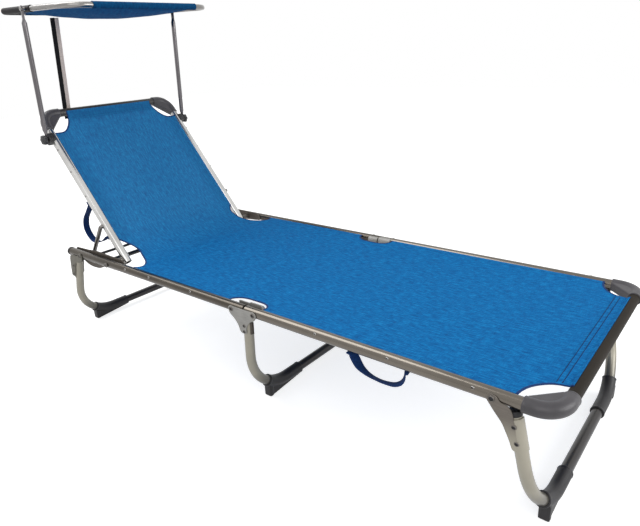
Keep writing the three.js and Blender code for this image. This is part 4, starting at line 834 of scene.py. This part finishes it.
def catmull(points, step):
    """Places along a smooth curve through the given points, about a step apart."""
    padded = [points[0] * 2 - points[1], *points, points[-1] * 2 - points[-2]]
    made = []
    for a, b, c, d in zip(padded, padded[1:], padded[2:], padded[3:]):
        count = max(int((c - b).length / step), 1)
        for t in (k / count for k in range(count)):
            made.append(0.5 * (2 * b + (c - a) * t + (2 * a - 5 * b + 4 * c - d) * t * t
                               + (3 * b - a - 3 * c + d) * t ** 3))
    return made + [points[-1]]

def curve(points):
    """Points along a smooth curve through the given 2-D points."""
    return [(p.x, p.y) for p in catmull([Vector((*p, 0)) for p in points], EDGE_STEP)]

def inside(point, outline):
    x, y = point
    found = False
    for (x1, y1), (x2, y2) in zip(outline, outline[1:] + outline[:1]):
        if (y1 > y) != (y2 > y) and x < (x2 - x1) * (y - y1) / (y2 - y1) + x1:
            found = not found
    return found

CLOTH_STEP = 9.0  # between the cloth's inner vertices
CLOTH_THICK = 1.4

def cut_cloth(name, outline, place, material, rows):
    """A sheet cut to a flat outline and laid on place(x, along, out); it has both faces and its edge."""
    border = np.array(outline)
    low, high = border.min(axis=0), border.max(axis=0)
    fill_in = []
    for y in sorted({*np.arange(low[1] + CLOTH_STEP / 2, high[1], CLOTH_STEP), *rows}):
        for x in np.arange(ceil(low[0] / CLOTH_STEP) * CLOTH_STEP, high[0], CLOTH_STEP):
            near = np.min(np.hypot(border[:, 0] - x, border[:, 1] - y))
            if near > CLOTH_STEP * 0.45 and inside((x, y), outline):
                fill_in.append((float(x), float(y)))
    points = [Vector(p) for p in outline + fill_in]
    flat, _, faces, _, _, _ = delaunay_2d_cdt(points, [], [list(range(len(outline)))], 1, 1e-4)
    count = len(flat)
    verts = [place(p.x, p.y, out) for out in (CLOTH_THICK / 2, -CLOTH_THICK / 2) for p in flat]
    edges = dict.fromkeys((a, b) for face in faces for a, b in zip(face, [*face[1:], face[0]]))
    both = [tuple(f) for f in faces] + [tuple(v + count for v in reversed(f)) for f in faces]
    both += [(b, a, a + count, b + count) for a, b in edges if (b, a) not in edges]
    return mesh_piece(name, verts, both, material, 50, [(p.x / 1000, p.y / 1000) for p in flat] * 2)

TAPE_WIDE, TAPE_HIGH = 5.0, 2.7

def taped(line, place):
    """Tape folded over a cut edge: a soft flat tube along it."""
    centers = [place(x, y, 0) for x, y in line]
    profile = [tuple(abs(v) ** 0.7 * copysign(size / 2000, v) for v, size in zip(turn, (TAPE_WIDE, TAPE_HIGH)))
               for turn in circle(12)]
    sections, uvs, run = [], [], 0.0
    for i, (spot, (x, y)) in enumerate(zip(centers, line)):
        out = (place(x, y, 1) - place(x, y, 0)).normalized()
        ahead = (centers[min(i + 1, len(centers) - 1)] - centers[max(i - 1, 0)]).normalized()
        across = ahead.cross(out).normalized()
        run += (spot - centers[i - 1]).length if i else 0
        uvs += [(a, run) for a, _ in profile]
        sections.append([spot + across * a + out * b for a, b in profile])
    return lofted("tape", sections, BINDING, 60, uvs)

def stitched(line, place, lift=0.65, long=3.2, gap=1.5, width=0.75):
    """A line of thread stitches lying on a surface."""
    pts = [place(x, y, lift) for x, y in line]
    ups = [(place(x, y, lift + 1) - place(x, y, lift)).normalized() for x, y in line]
    lengths = [0.0]
    for a, b in zip(pts, pts[1:]):
        lengths.append(lengths[-1] + (b - a).length * 1000)
    verts, faces = [], []

    def spot(run):
        k = min(max(np.searchsorted(lengths, run) - 1, 0), len(pts) - 2)
        t = (run - lengths[k]) / max(lengths[k + 1] - lengths[k], 1e-6)
        return pts[k].lerp(pts[k + 1], t), ups[k].lerp(ups[k + 1], t)

    run = gap
    while run + long < lengths[-1]:
        a, up = spot(run)
        b, _ = spot(run + long)
        side = (b - a).normalized().cross(up).normalized() * (width / 2000)
        top = up * (width * 0.55 / 1000)
        first = len(verts)
        for t, size in ((0, 0.35), (0.2, 1), (0.8, 1), (1, 0.35)):
            mid = a.lerp(b, t)
            verts += [mid - side * size, mid + top * size, mid + side * size, mid - top * 0.4]
        for k in range(3):
            for j in range(4):
                q, w = first + k * 4 + j, first + k * 4 + (j + 1) % 4
                faces.append((q, w, w + 4, q + 4))
        faces += [(first, first + 3, first + 2, first + 1), (first + 12, first + 13, first + 14, first + 15)]
        run += long + gap
    return mesh_piece("seam", verts, faces, THREAD, 60)

def both_sides(line):
    """The same line on the left and on the right."""
    return [(-x, y) for x, y in line], line

def across_line(half, y):
    return [(float(x), y) for x in np.arange(-half, half + 0.1, STITCH_STEP)]

def along_line(x, start, end):
    return [(x, float(y)) for y in np.arange(start, end, STITCH_STEP)]

def rail_line(x, start, end):
    """A straight cut beside a rail, without its two ends."""
    return [(x, float(y)) for y in np.linspace(start, end, max(int((end - start) / CLOTH_STEP), 2))[1:-1]]

def eased(t):
    t = min(max(t, 0), 1)
    return t * t * (3 - 2 * t)

def bow(across):
    return 1 - min(abs(across), 1) ** 2.8

def bulge(share):
    return 1 - min(abs(2 * share - 1), 1) ** 3

def uneven(x, y, z):
    return noise.noise(Vector((x, y, z)))

# The sling: flat from the foot bar, then up an arc and along the backrest, and round a bar at each end
CLOTH_UP = 8  # the cloth's height over the tubes' axes
SEAT_Z = RAIL_Z + CLOTH_UP
SAG = 11
SAG_END = 1317
SEAT_HALF, BACK_HALF = 291.5, 237  # half widths over which the cloth sags
SHEET_EDGE = 291.9
BACK_EDGE = 236.4
FOLD_R = 213
FOLD_TURN = radians(BACK_ANGLE)
FOLD_REACH = FOLD_R * tan(FOLD_TURN / 2)
FOLD_LONG = FOLD_R * FOLD_TURN
FOLD_START = 1330.24 - FOLD_REACH
FOLD_END = FOLD_START + FOLD_LONG
WRAP_R = 13.4  # middle of the cloth where it goes round a bar
BAR_EDGE = sqrt(WRAP_R ** 2 - CLOTH_UP ** 2)
FOOT_WRAP, HEAD_WRAP = 7.5, 8.7
HEM = 26

def back_run(s):
    """Distance along the sheet of a place s up the backrest."""
    return FOLD_END + (s - (3.756 + FOLD_REACH))

BACK_END = back_run(BACK_LENGTH - BAR_EDGE)
BACK_SAG_FROM = back_run(12)
HUG_X, HUG_WIDE = 192, 42  # where the cloth beside the arc turns down on to the tubes, and over what width
HUG_RUN, HUG_LONG = 1323, 40
SEAT_BULGE_AT = (FOLD_START - BAR_EDGE) / (SAG_END - BAR_EDGE)

def wrinkles(x, run):
    """Shallow diagonal creases where the seat turns up into the backrest, and a general unevenness."""
    near = exp(-(((run - 1290) / 105) ** 2))
    crease = sin((0.62 * abs(x) + run) / 9.5 + 2.2 * uneven(x / 70, run / 60, 3.1))
    return 0.55 * near * crease + 0.8 * uneven(x / 46, run / 150, 7.7) + 0.5 * near * uneven(x / 24, run / 20, 1.3)

def seam_lift(run):
    """The doubled cloth of the hems stands a little higher than the rest."""
    foot = 1 / (1 + exp((run - (BAR_EDGE + HEM)) / 0.9)) if run < 80 else 0.0
    head = 1 / (1 + exp(((BACK_END - HEM) - run) / 0.9)) if run > BACK_END - 80 else 0.0
    return 0.9 * (foot + head)

def on_sling(x, run, out=0.0):
    """A point of the lying surface: across, along the sheet and out of it."""
    doubled = seam_lift(run) if out > 0 else 0
    if run < BAR_EDGE or run > BACK_END:
        past = max(BAR_EDGE - run, run - BACK_END)
        turn, reach = asin(CLOTH_UP / WRAP_R) + past / WRAP_R, WRAP_R + out + doubled
        if run < BAR_EDGE:
            return at(x, reach * cos(turn), RAIL_Z + reach * sin(turn))
        return back(x, BACK_LENGTH - reach * cos(turn), reach * sin(turn))
    taut = bow(x / SEAT_HALF)
    if run < FOLD_START:
        share = min(max((run - BAR_EDGE) / (SAG_END - BAR_EDGE), 0), 1)
        sag = SAG * taut * bulge(share ** 0.9)
        return at(x, run, SEAT_Z + (out - sag + wrinkles(x, run) * taut * bulge(share) + doubled))
    turn = min((run - FOLD_START) / FOLD_R, FOLD_TURN)
    share = min(max((run - BACK_SAG_FROM) / (BACK_END - BACK_SAG_FROM), 0), 1)
    fade = min(max((FOLD_END - run) / FOLD_LONG, 0), 1)
    sag = SAG * bow(x / BACK_HALF) * bulge(share) * (1 - fade) + SAG * taut * bulge(SEAT_BULGE_AT ** 0.9) * fade
    calm = bulge(share) * (1 - fade) + bulge(SEAT_BULGE_AT) * fade
    lift = out - sag + wrinkles(x, run) * taut * calm + doubled
    y = FOLD_START + FOLD_R * sin(turn) - lift * sin(turn)
    z = SEAT_Z + FOLD_R * (1 - cos(turn)) + lift * cos(turn)
    if run > FOLD_END:
        return at(x, y + (run - FOLD_END) * cos(FOLD_TURN), z + (run - FOLD_END) * sin(FOLD_TURN))
    hug = eased((abs(x) - HUG_X) / HUG_WIDE) * eased((run - HUG_RUN) / HUG_LONG)
    return at(x, y, z).lerp(back(x, run - back_run(0), CLOTH_UP + out), hug)

FOOT_CUT = curve([(217, BAR_EDGE - FOOT_WRAP), (217.3, BAR_EDGE), (218.5, 19), (221, 31), (227, 43), (237, 55),
                  (249, 65), (262, 72), (277, 76.5), (SHEET_EDGE, 78.5)])
HINGE_CUT_IN = curve([(SHEET_EDGE, 690), (284, 690.8), (274, 694.5), (266, 702), (260.5, 712), (258.2, 724),
                      (258, 740)])
HINGE_CUT_OUT = curve([(258, 740), (258, 756), (258.6, 770), (261.5, 784), (267, 795), (275, 803), (284, 807.5),
                       (SHEET_EDGE, 808.5)])
NECK_CUT = curve([(SHEET_EDGE, 1222), (284, 1211), (269, 1208), (254, 1218), (239, 1237), (229, 1257), (221, 1277),
                  (211, 1307), (211.5, 1330), (216, 1349), (225, 1364), (BACK_EDGE, back_run(62.5))])
HEAD_CUT = curve([(BACK_EDGE, back_run(474)), (222, back_run(473.5)), (206, back_run(475.5)), (194, back_run(482.5)),
                  (183, back_run(494)), (173.5, back_run(508)), (167, back_run(522)), (163, back_run(534)),
                  (162, BACK_END), (161.5, BACK_END + HEAD_WRAP)])

def panel(name, parts, close_low, close_high, material):
    """A panel from its right-hand edge line, mirrored, with straight ends where it meets its neighbours."""
    right = []
    for part in parts:
        right += part if not right else part[1:] if dist(right[-1], part[0]) < 0.5 else part

    def end_line(half, y):
        line = [(float(x), y) for x in np.arange(ceil(-half / CLOTH_STEP) * CLOTH_STEP, half, CLOTH_STEP)]
        return [p for p in line if abs(p[0]) < half - 3]

    outline = right + end_line(right[-1][0], close_high)[::-1] + [(-x, y) for x, y in reversed(right)]
    outline += end_line(right[0][0], close_low)
    rows = [close_low + 4.2, close_high - 4.2]
    for spot, steps in ((BAR_EDGE + HEM, (-2.4, -0.9, 0, 0.9, 2.4)), (BACK_END - HEM, (-2.4, -0.9, 0, 0.9, 2.4)),
                        (BAR_EDGE, (0,)), (BACK_END, (0,))):
        rows += [spot + step for step in steps if close_low < spot < close_high]
    return cut_cloth(name, outline, on_sling, material, rows), outline

def area_of(outline):
    pairs = zip(outline, outline[1:] + outline[:1])
    return abs(sum(x1 * y2 - x2 * y1 for (x1, y1), (x2, y2) in pairs)) / 2e6

def stretched(outline, wide, long):
    min(area_of(outline), wide * long)

PANEL_JOIN = 1050  # between the seat's panel and the backrest's
SEAM_X, BACK_SEAM_X = 279, 224
join = [(SHEET_EDGE, PANEL_JOIN)]
PANELS = {
    "foot": panel("sling_foot_panel", [FOOT_CUT, rail_line(SHEET_EDGE, 78.5, 690), HINGE_CUT_IN],
                  BAR_EDGE - FOOT_WRAP, HINGE_Y, SLING),
    "seat": panel("sling_seat_panel", [HINGE_CUT_OUT, rail_line(SHEET_EDGE, 808.5, PANEL_JOIN), join],
                  HINGE_Y, PANEL_JOIN, SLING),
    "back": panel("sling_back_panel", [join, rail_line(SHEET_EDGE, PANEL_JOIN, 1222), NECK_CUT,
                                       rail_line(BACK_EDGE, back_run(62.5), back_run(474)), HEAD_CUT],
                  PANEL_JOIN, BACK_END + HEAD_WRAP, BACK_SLING)}
taped_cuts = {"foot": (FOOT_CUT, HINGE_CUT_IN), "seat": (HINGE_CUT_OUT,), "back": (NECK_CUT, HEAD_CUT)}
tapes = {part: [taped(line, on_sling) for cut in cuts for line in both_sides(cut)]
         for part, cuts in taped_cuts.items()}
for y in (BAR_EDGE + HEM - 2, BAR_EDGE + HEM - 12):
    tapes["foot"].append(stitched(across_line(217, y), on_sling, 0.65, 4.8, 0.7, 2.2))
for y in (BACK_END - HEM + 2, BACK_END - HEM + 9):
    tapes["back"].append(stitched(across_line(160, y), on_sling))
for side in (-1, 1):
    for part, x, start, end in (("foot", SEAM_X, 88, 684), ("seat", SEAM_X, 816, PANEL_JOIN),
                                ("back", SEAM_X, PANEL_JOIN, 1204), ("back", BACK_SEAM_X, back_run(72), back_run(470))):
        tapes[part].append(stitched(along_line(side * x, start, end), on_sling))
tapes = {part: joined(f"sling_{part}_tape", pieces) for part, pieces in tapes.items()}
BLENDS = {"foot": ("foot_frame", "mid_leg", at(0, HINGE_Y - 80, RAIL_Z), at(0, HINGE_Y, RAIL_Z)),
          "seat": ("mid_leg", "head_frame", at(0, HINGE_Y, RAIL_Z), at(0, HINGE_Y + 80, RAIL_Z)),
          "back": ("head_frame", "backrest", at(0, FOLD_START - 2, SEAT_Z), back(0, 66, CLOTH_UP))}
for part, node in (("foot", "foot_sling"), ("seat", "seat_sling"), ("back", "backrest_sling")):
    cloth, outline = PANELS[part]
    for piece in (cloth, tapes[part]):
        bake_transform(piece)
    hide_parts(node)
    long = (max(y for _, y in outline) - min(y for _, y in outline)) / 1000
    stretched(outline, 2 * max(x for x, _ in outline) / 1000, long)

# Canopy cloth: a sheet that sags in the ring, drawn up over the bars as sleeves
CLOTH_FRONT = RING_FRONT + RING_R
CLOTH_REAR = RING_REAR - RING_R - 0.3
CLOTH_EDGE = 243.0
CLOTH_END = 171  # half width over which its straight ends get points
CLOTH_SAG = 26

def on_canopy(x, along, out=0.0):
    share = min(max((along - CLOTH_FRONT) / (CLOTH_REAR - CLOTH_FRONT), 0), 1)
    across = x / CLOTH_EDGE
    sag = CLOTH_SAG * (1 - min(abs(across), 1) ** 2.3) * bulge(share)
    soft = 1.6 * uneven(x / 70, along / 60, 11.3) * bow(across) * bulge(share)
    pull = 0.9 * sin(x / 16 + 1.5 * uneven(x / 60, 0, 5)) * exp(-(along - CLOTH_FRONT) / 45) * bow(across)
    return ring(x, along, out - sag + soft + pull)

FRONT_CUT = curve([(183, CLOTH_FRONT), (183.5, -217), (187, -205), (194, -192), (204, -180), (217, -169), (230, -161),
                   (CLOTH_EDGE, -156)])
REAR_CUT = curve([(CLOTH_EDGE, 104), (231, 107), (218, 112), (204, 121), (194, 132), (187, 145), (183.5, 158),
                  (182, CLOTH_REAR)])
right = FRONT_CUT + rail_line(CLOTH_EDGE, -156, 104) + REAR_CUT
end_xs = np.arange(-CLOTH_END, CLOTH_END + 1, CLOTH_STEP)
outline = right + [(float(x), CLOTH_REAR) for x in end_xs[::-1]] + [(-x, y) for x, y in reversed(right)]
outline += [(float(x), CLOTH_FRONT) for x in end_xs]
canopy_cloth = cut_cloth("canopy_cloth_sheet", outline, on_canopy, CANOPY, [CLOTH_FRONT + 3])

def sleeve(bar_along, half, front):
    """The cloth taken round a bar and sewn to itself."""
    turns = np.linspace(-pi * 0.97, pi * 0.97, 40)
    xs = np.linspace(-half, half, 62)
    verts, uvs = [], []
    for x in xs:
        for turn in turns:
            pucker = 0.35 * uneven(x / 9, turn * 1.2, 2.0) * (1 - 0.6 * cos(turn))
            r = RING_R + 1.1 + pucker
            verts.append(ring(float(x), bar_along + front * r * cos(turn), r * sin(turn)))
            uvs.append((x / 1000, turn * RING_R / 1000))
    count = len(turns)
    corners = [i * count + j for i in range(len(xs) - 1) for j in range(count - 1)]
    faces = [(a, a + 1, a + 1 + count, a + count) for a in corners]
    piece = mesh_piece("sleeve", verts, faces, SLEEVE, 60, uvs)
    return modified(piece, ("SOLIDIFY", {"thickness": 0.0013, "offset": 0}))

tape = [taped(line, on_canopy) for cut in (FRONT_CUT, REAR_CUT) for line in both_sides(cut)]
tape += [sleeve(RING_FRONT, 182.5, -1), sleeve(RING_REAR, 176, 1)]
tape += [stitched(across_line(176, y), on_canopy, 0.7) for y in (CLOTH_FRONT + 9, CLOTH_REAR - 9)]
tape += [stitched(along_line(side * 231, -148, 98), on_canopy, 0.7) for side in (-1, 1)]
canopy_trim = joined("canopy_cloth_trim", tape)
dress(canopy_cloth, "canopy", "canopy_cloth")
dress(canopy_trim, "canopy", None)
stretched(outline, 2 * CLOTH_EDGE / 1000, (CLOTH_REAR - CLOTH_FRONT) / 1000)

# ---------------------------------------------------------------- webbing

def web(name, path, across, width, thick, material):
    """A strap: flat section with rolled edges, swept along stations; across(share) gives its width's direction."""
    half, low = width / 2000, thick / 2000
    shares = [(-1, 0), (-0.985, 0.8), (-0.93, 1), (-0.5, 1.02), (0, 1), (0.5, 1.02), (0.93, 1), (0.985, 0.8), (1, 0),
              (0.985, -0.8), (0.93, -1), (0, -1), (-0.93, -1), (-0.985, -0.8)]
    profile = [(half * a, low * b) for a, b in shares]
    fine = []
    for (p, d), (q, e) in zip(path, path[1:]):
        count = max(int((q - p).length / 0.004), 1)
        fine += [(p.lerp(q, k / count), d.lerp(e, k / count).normalized()) for k in range(count)]
    fine.append(path[-1])
    total = sum((b[0] - a[0]).length for a, b in zip(fine, fine[1:]))
    sections, uvs, run = [], [], 0.0
    for i, (spot, along) in enumerate(fine):
        run += (spot - fine[i - 1][0]).length if i else 0
        out = along.cross(across(run / total)).normalized()
        side = out.cross(along).normalized()
        wave = 0.0004 * noise.noise(spot * 40)
        sections.append([spot + side * a + out * (b + wave) for a, b in profile])
        uvs += [(a, run) for a, _ in profile]
    return lofted(name, sections, material, 70, uvs), total

HANDLE_WIDE, HANDLE_THICK = 21, 2
HANDLE_SEAM = 6.5  # its two seams, from the middle

def handle(name, points, twist, body, node, down):
    """A webbing loop sewn down at both ends; twist(share) gives how its width turns and tips, in degrees."""
    def across(share):
        turn, tilt = (radians(a) for a in twist(share))
        return Vector((cos(turn), sin(turn), -sin(tilt)))

    spots = catmull(points, 0.006)
    spots = [spots[0], *spots, spots[-1]]
    path = [(here, (after - before).normalized()) for before, here, after in zip(spots, spots[1:], spots[2:])]
    piece, long = web(name, path, across, HANDLE_WIDE, HANDLE_THICK, NAVY)
    parts = [piece]
    for first, second in (points[:2], points[-2:]):
        for inset in (-HANDLE_SEAM, HANDLE_SEAM):
            line = [first.lerp(second, t) + Vector((inset / 1000, 0, 0)) for t in (0.08, 0.36, 0.64, 0.92)]
            parts.append(stitched([(0, i) for i in range(4)], lambda x, i, out: line[i] + down * (out / 1000),
                                  1.0, 2.2, 1.0))
    piece = joined(name, parts)
    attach(piece, body)
    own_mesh(piece)
    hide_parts(node)

FOOT_LOOP = [(432, 266.4), (423, 265.6), (416, 254), (402, 235), (377, 223.5), (345, 220.5), (318, 225), (302, 236.5),
             (296, 250), (293.5, 263.8), (284, 266.4)]
HEAD_LOOP = [(0.64, 0), (0.54, 0.01), (0.5, 0.3), (0.44, 0.72), (0.26, 0.99), (-0.04, 1.03), (-0.3, 0.86),
             (-0.46, 0.45), (-0.52, 0.02), (-0.64, 0)]
HEAD_LOOP_LONG, HEAD_LOOP_DEEP = 0.112, 0.1
under, behind = at(-RAIL_X, 361, RAIL_Z - TUBE_R - 1.4), back(-BACK_X, 153, -TUBE_R - 1.4)
handle("foot_handle_strap", [at(-RAIL_X, y, z) for y, z in FOOT_LOOP],
       lambda share: (-32 + 66 * eased((share - 0.12) / 0.4), 17 * sin(pi * share)),
       "foot_frame", "foot_carry_handle", Vector((0, 0, -1)))
handle("head_handle_strap",
       [behind + back_up * (a * HEAD_LOOP_LONG) - back_out * (b * HEAD_LOOP_DEEP) for a, b in HEAD_LOOP],
       lambda share: (0, 0), "backrest", "head_carry_handle", -back_out)

# Tie strap: a black and a grey band side by side, from the canopy down behind the top bar
bar_y, bar_z = row(back(0, BACK_LENGTH, 0))
STRAP_X = -146
STRAP_THICK = 1.6
STRAP_BANDS = ("black", -6.4, 14.2, BLACK_WEB), ("grey", 7.2, 12.6, GREY_WEB)  # shift from the middle, and width
behind_y = bar_y + TUBE_R + 1.1
tie = [at(-165.5, ARM_TOP_Y + 22.5, ARM_TOP_Z - 22.8), at(STRAP_X, behind_y, bar_z + TUBE_R),
       at(STRAP_X, behind_y, bar_z - 22)]
for name, shift, width, material in STRAP_BANDS:
    path = stations([spot + Vector((shift / 1000, 0, 0)) for spot in tie], 0.006, 10)
    band, _ = web(f"tie_strap_{name}_band", path, lambda share: Vector((1, 0, 0)), width, STRAP_THICK, material)
    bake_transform(band)
    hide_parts("canopy_tie_strap")
    wide, long = width / 1000, sum((b - a).length for a, b in zip(tie, tie[1:]))

# ---------------------------------------------------------------- floor, light and camera

WHITE = (1.0, 1.0, 1.0)
PAPER = (0.6, 0.6, 0.6)
paper = Nodes("floor_paper", PAPER, 0.95)
paper.surface({"Base Color": paper.ramp(paper.noise(paper.coords(), 30), (0.3, dim(PAPER, 0.985)), (0.7, PAPER)),
               "Specular IOR Level": 0.1})
rays = paper.node("LightPath", {}).node.outputs
place = paper.node("NewGeometry", {}, "Position")
far = paper.node("VectorMath", {0: place}, "Value", operation="LENGTH")
white = paper.math("MULTIPLY", rays["Is Camera Ray"], paper.span(far, 0.72, 0.9, 1.2, 2.8))
glow = paper.math("ADD", white, paper.math("MULTIPLY", rays["Is Glossy Ray"], 0.46))
lit = paper.node("AddShader", {0: paper.shader.outputs[0], 1: paper.node("Emission", {"Strength": glow})})
fill(paper.tree, paper.tree.nodes["Material Output"], {"Surface": lit})
FLOOR = 9
floor = mesh_piece("floor_sheet", [(-FLOOR, -FLOOR, 0), (FLOOR, -FLOOR, 0), (FLOOR, FLOOR, 0), (-FLOOR, FLOOR, 0)],
                   [(0, 1, 2, 3)], paper.material)

world = bpy.context.scene.world or bpy.data.worlds.new("world")
bpy.context.scene.world = world
world.use_nodes = True
tree = world.node_tree
rays = add_node(tree, "LightPath", {}).node.outputs
seen = add_node(tree, "Math", {0: rays["Is Camera Ray"], 1: rays["Is Transmission Ray"]}, operation="MAXIMUM")
seen = add_node(tree, "Math", {0: seen, 1: rays["Is Glossy Ray"]}, operation="MAXIMUM")
ground = tree.nodes["Background"]
fill(tree, ground, {"Color": WHITE, "Strength": 0.55})
sky = add_node(tree, "Background", {"Color": WHITE, "Strength": 1.0})
mixed = add_node(tree, "MixShader", {0: seen, 1: ground.outputs[0], 2: sky})
fill(tree, tree.nodes["World Output"], {"Surface": mixed})

def lamp(name, place, target, power, size):
    data = bpy.data.lights.new(name, "AREA")
    data.energy = power
    data.shape = "RECTANGLE"
    data.size, data.size_y = size
    item = bpy.data.objects.new(name, data)
    bpy.context.scene.collection.objects.link(item)
    item.location = place
    item.rotation_euler = (Vector(target) - Vector(place)).to_track_quat("-Z", "Y").to_euler()

lamp("key_softbox", (-0.7, 1.7, 3.0), (0, 0, 0.3), 62, (2.0, 2.6))
lamp("fill_softbox", (-2.6, -1.6, 2.2), (0, 0, 0.4), 26, (2.5, 2.0))
lamp("foot_softbox", (0.6, -3.2, 1.4), (0, 0.3, 0.5), 52, (2.4, 1.6))

# The photo's camera: its place in metres, its angles in degrees and its lens in millimetres
CAMERA_AT = -1.134, -1.0832, 0.870
PAN, TILT, ROLL = 50.25, 21.12, -3.12
SENSOR, LENS = 36, 31.56
camera_data = bpy.data.cameras.new("camera")
camera_data.sensor_width, camera_data.lens = SENSOR, LENS
camera = bpy.data.objects.new("camera", camera_data)
bpy.context.scene.collection.objects.link(camera)
camera.matrix_world = Matrix.Translation(CAMERA_AT)
for angle, axis in ((-PAN, "Z"), (90 - TILT, "X"), (ROLL, "Z")):
    camera.matrix_world = camera.matrix_world @ Matrix.Rotation(radians(angle), 4, axis)
bpy.context.scene.camera = camera
bpy.context.scene.view_settings.view_transform = "Standard"
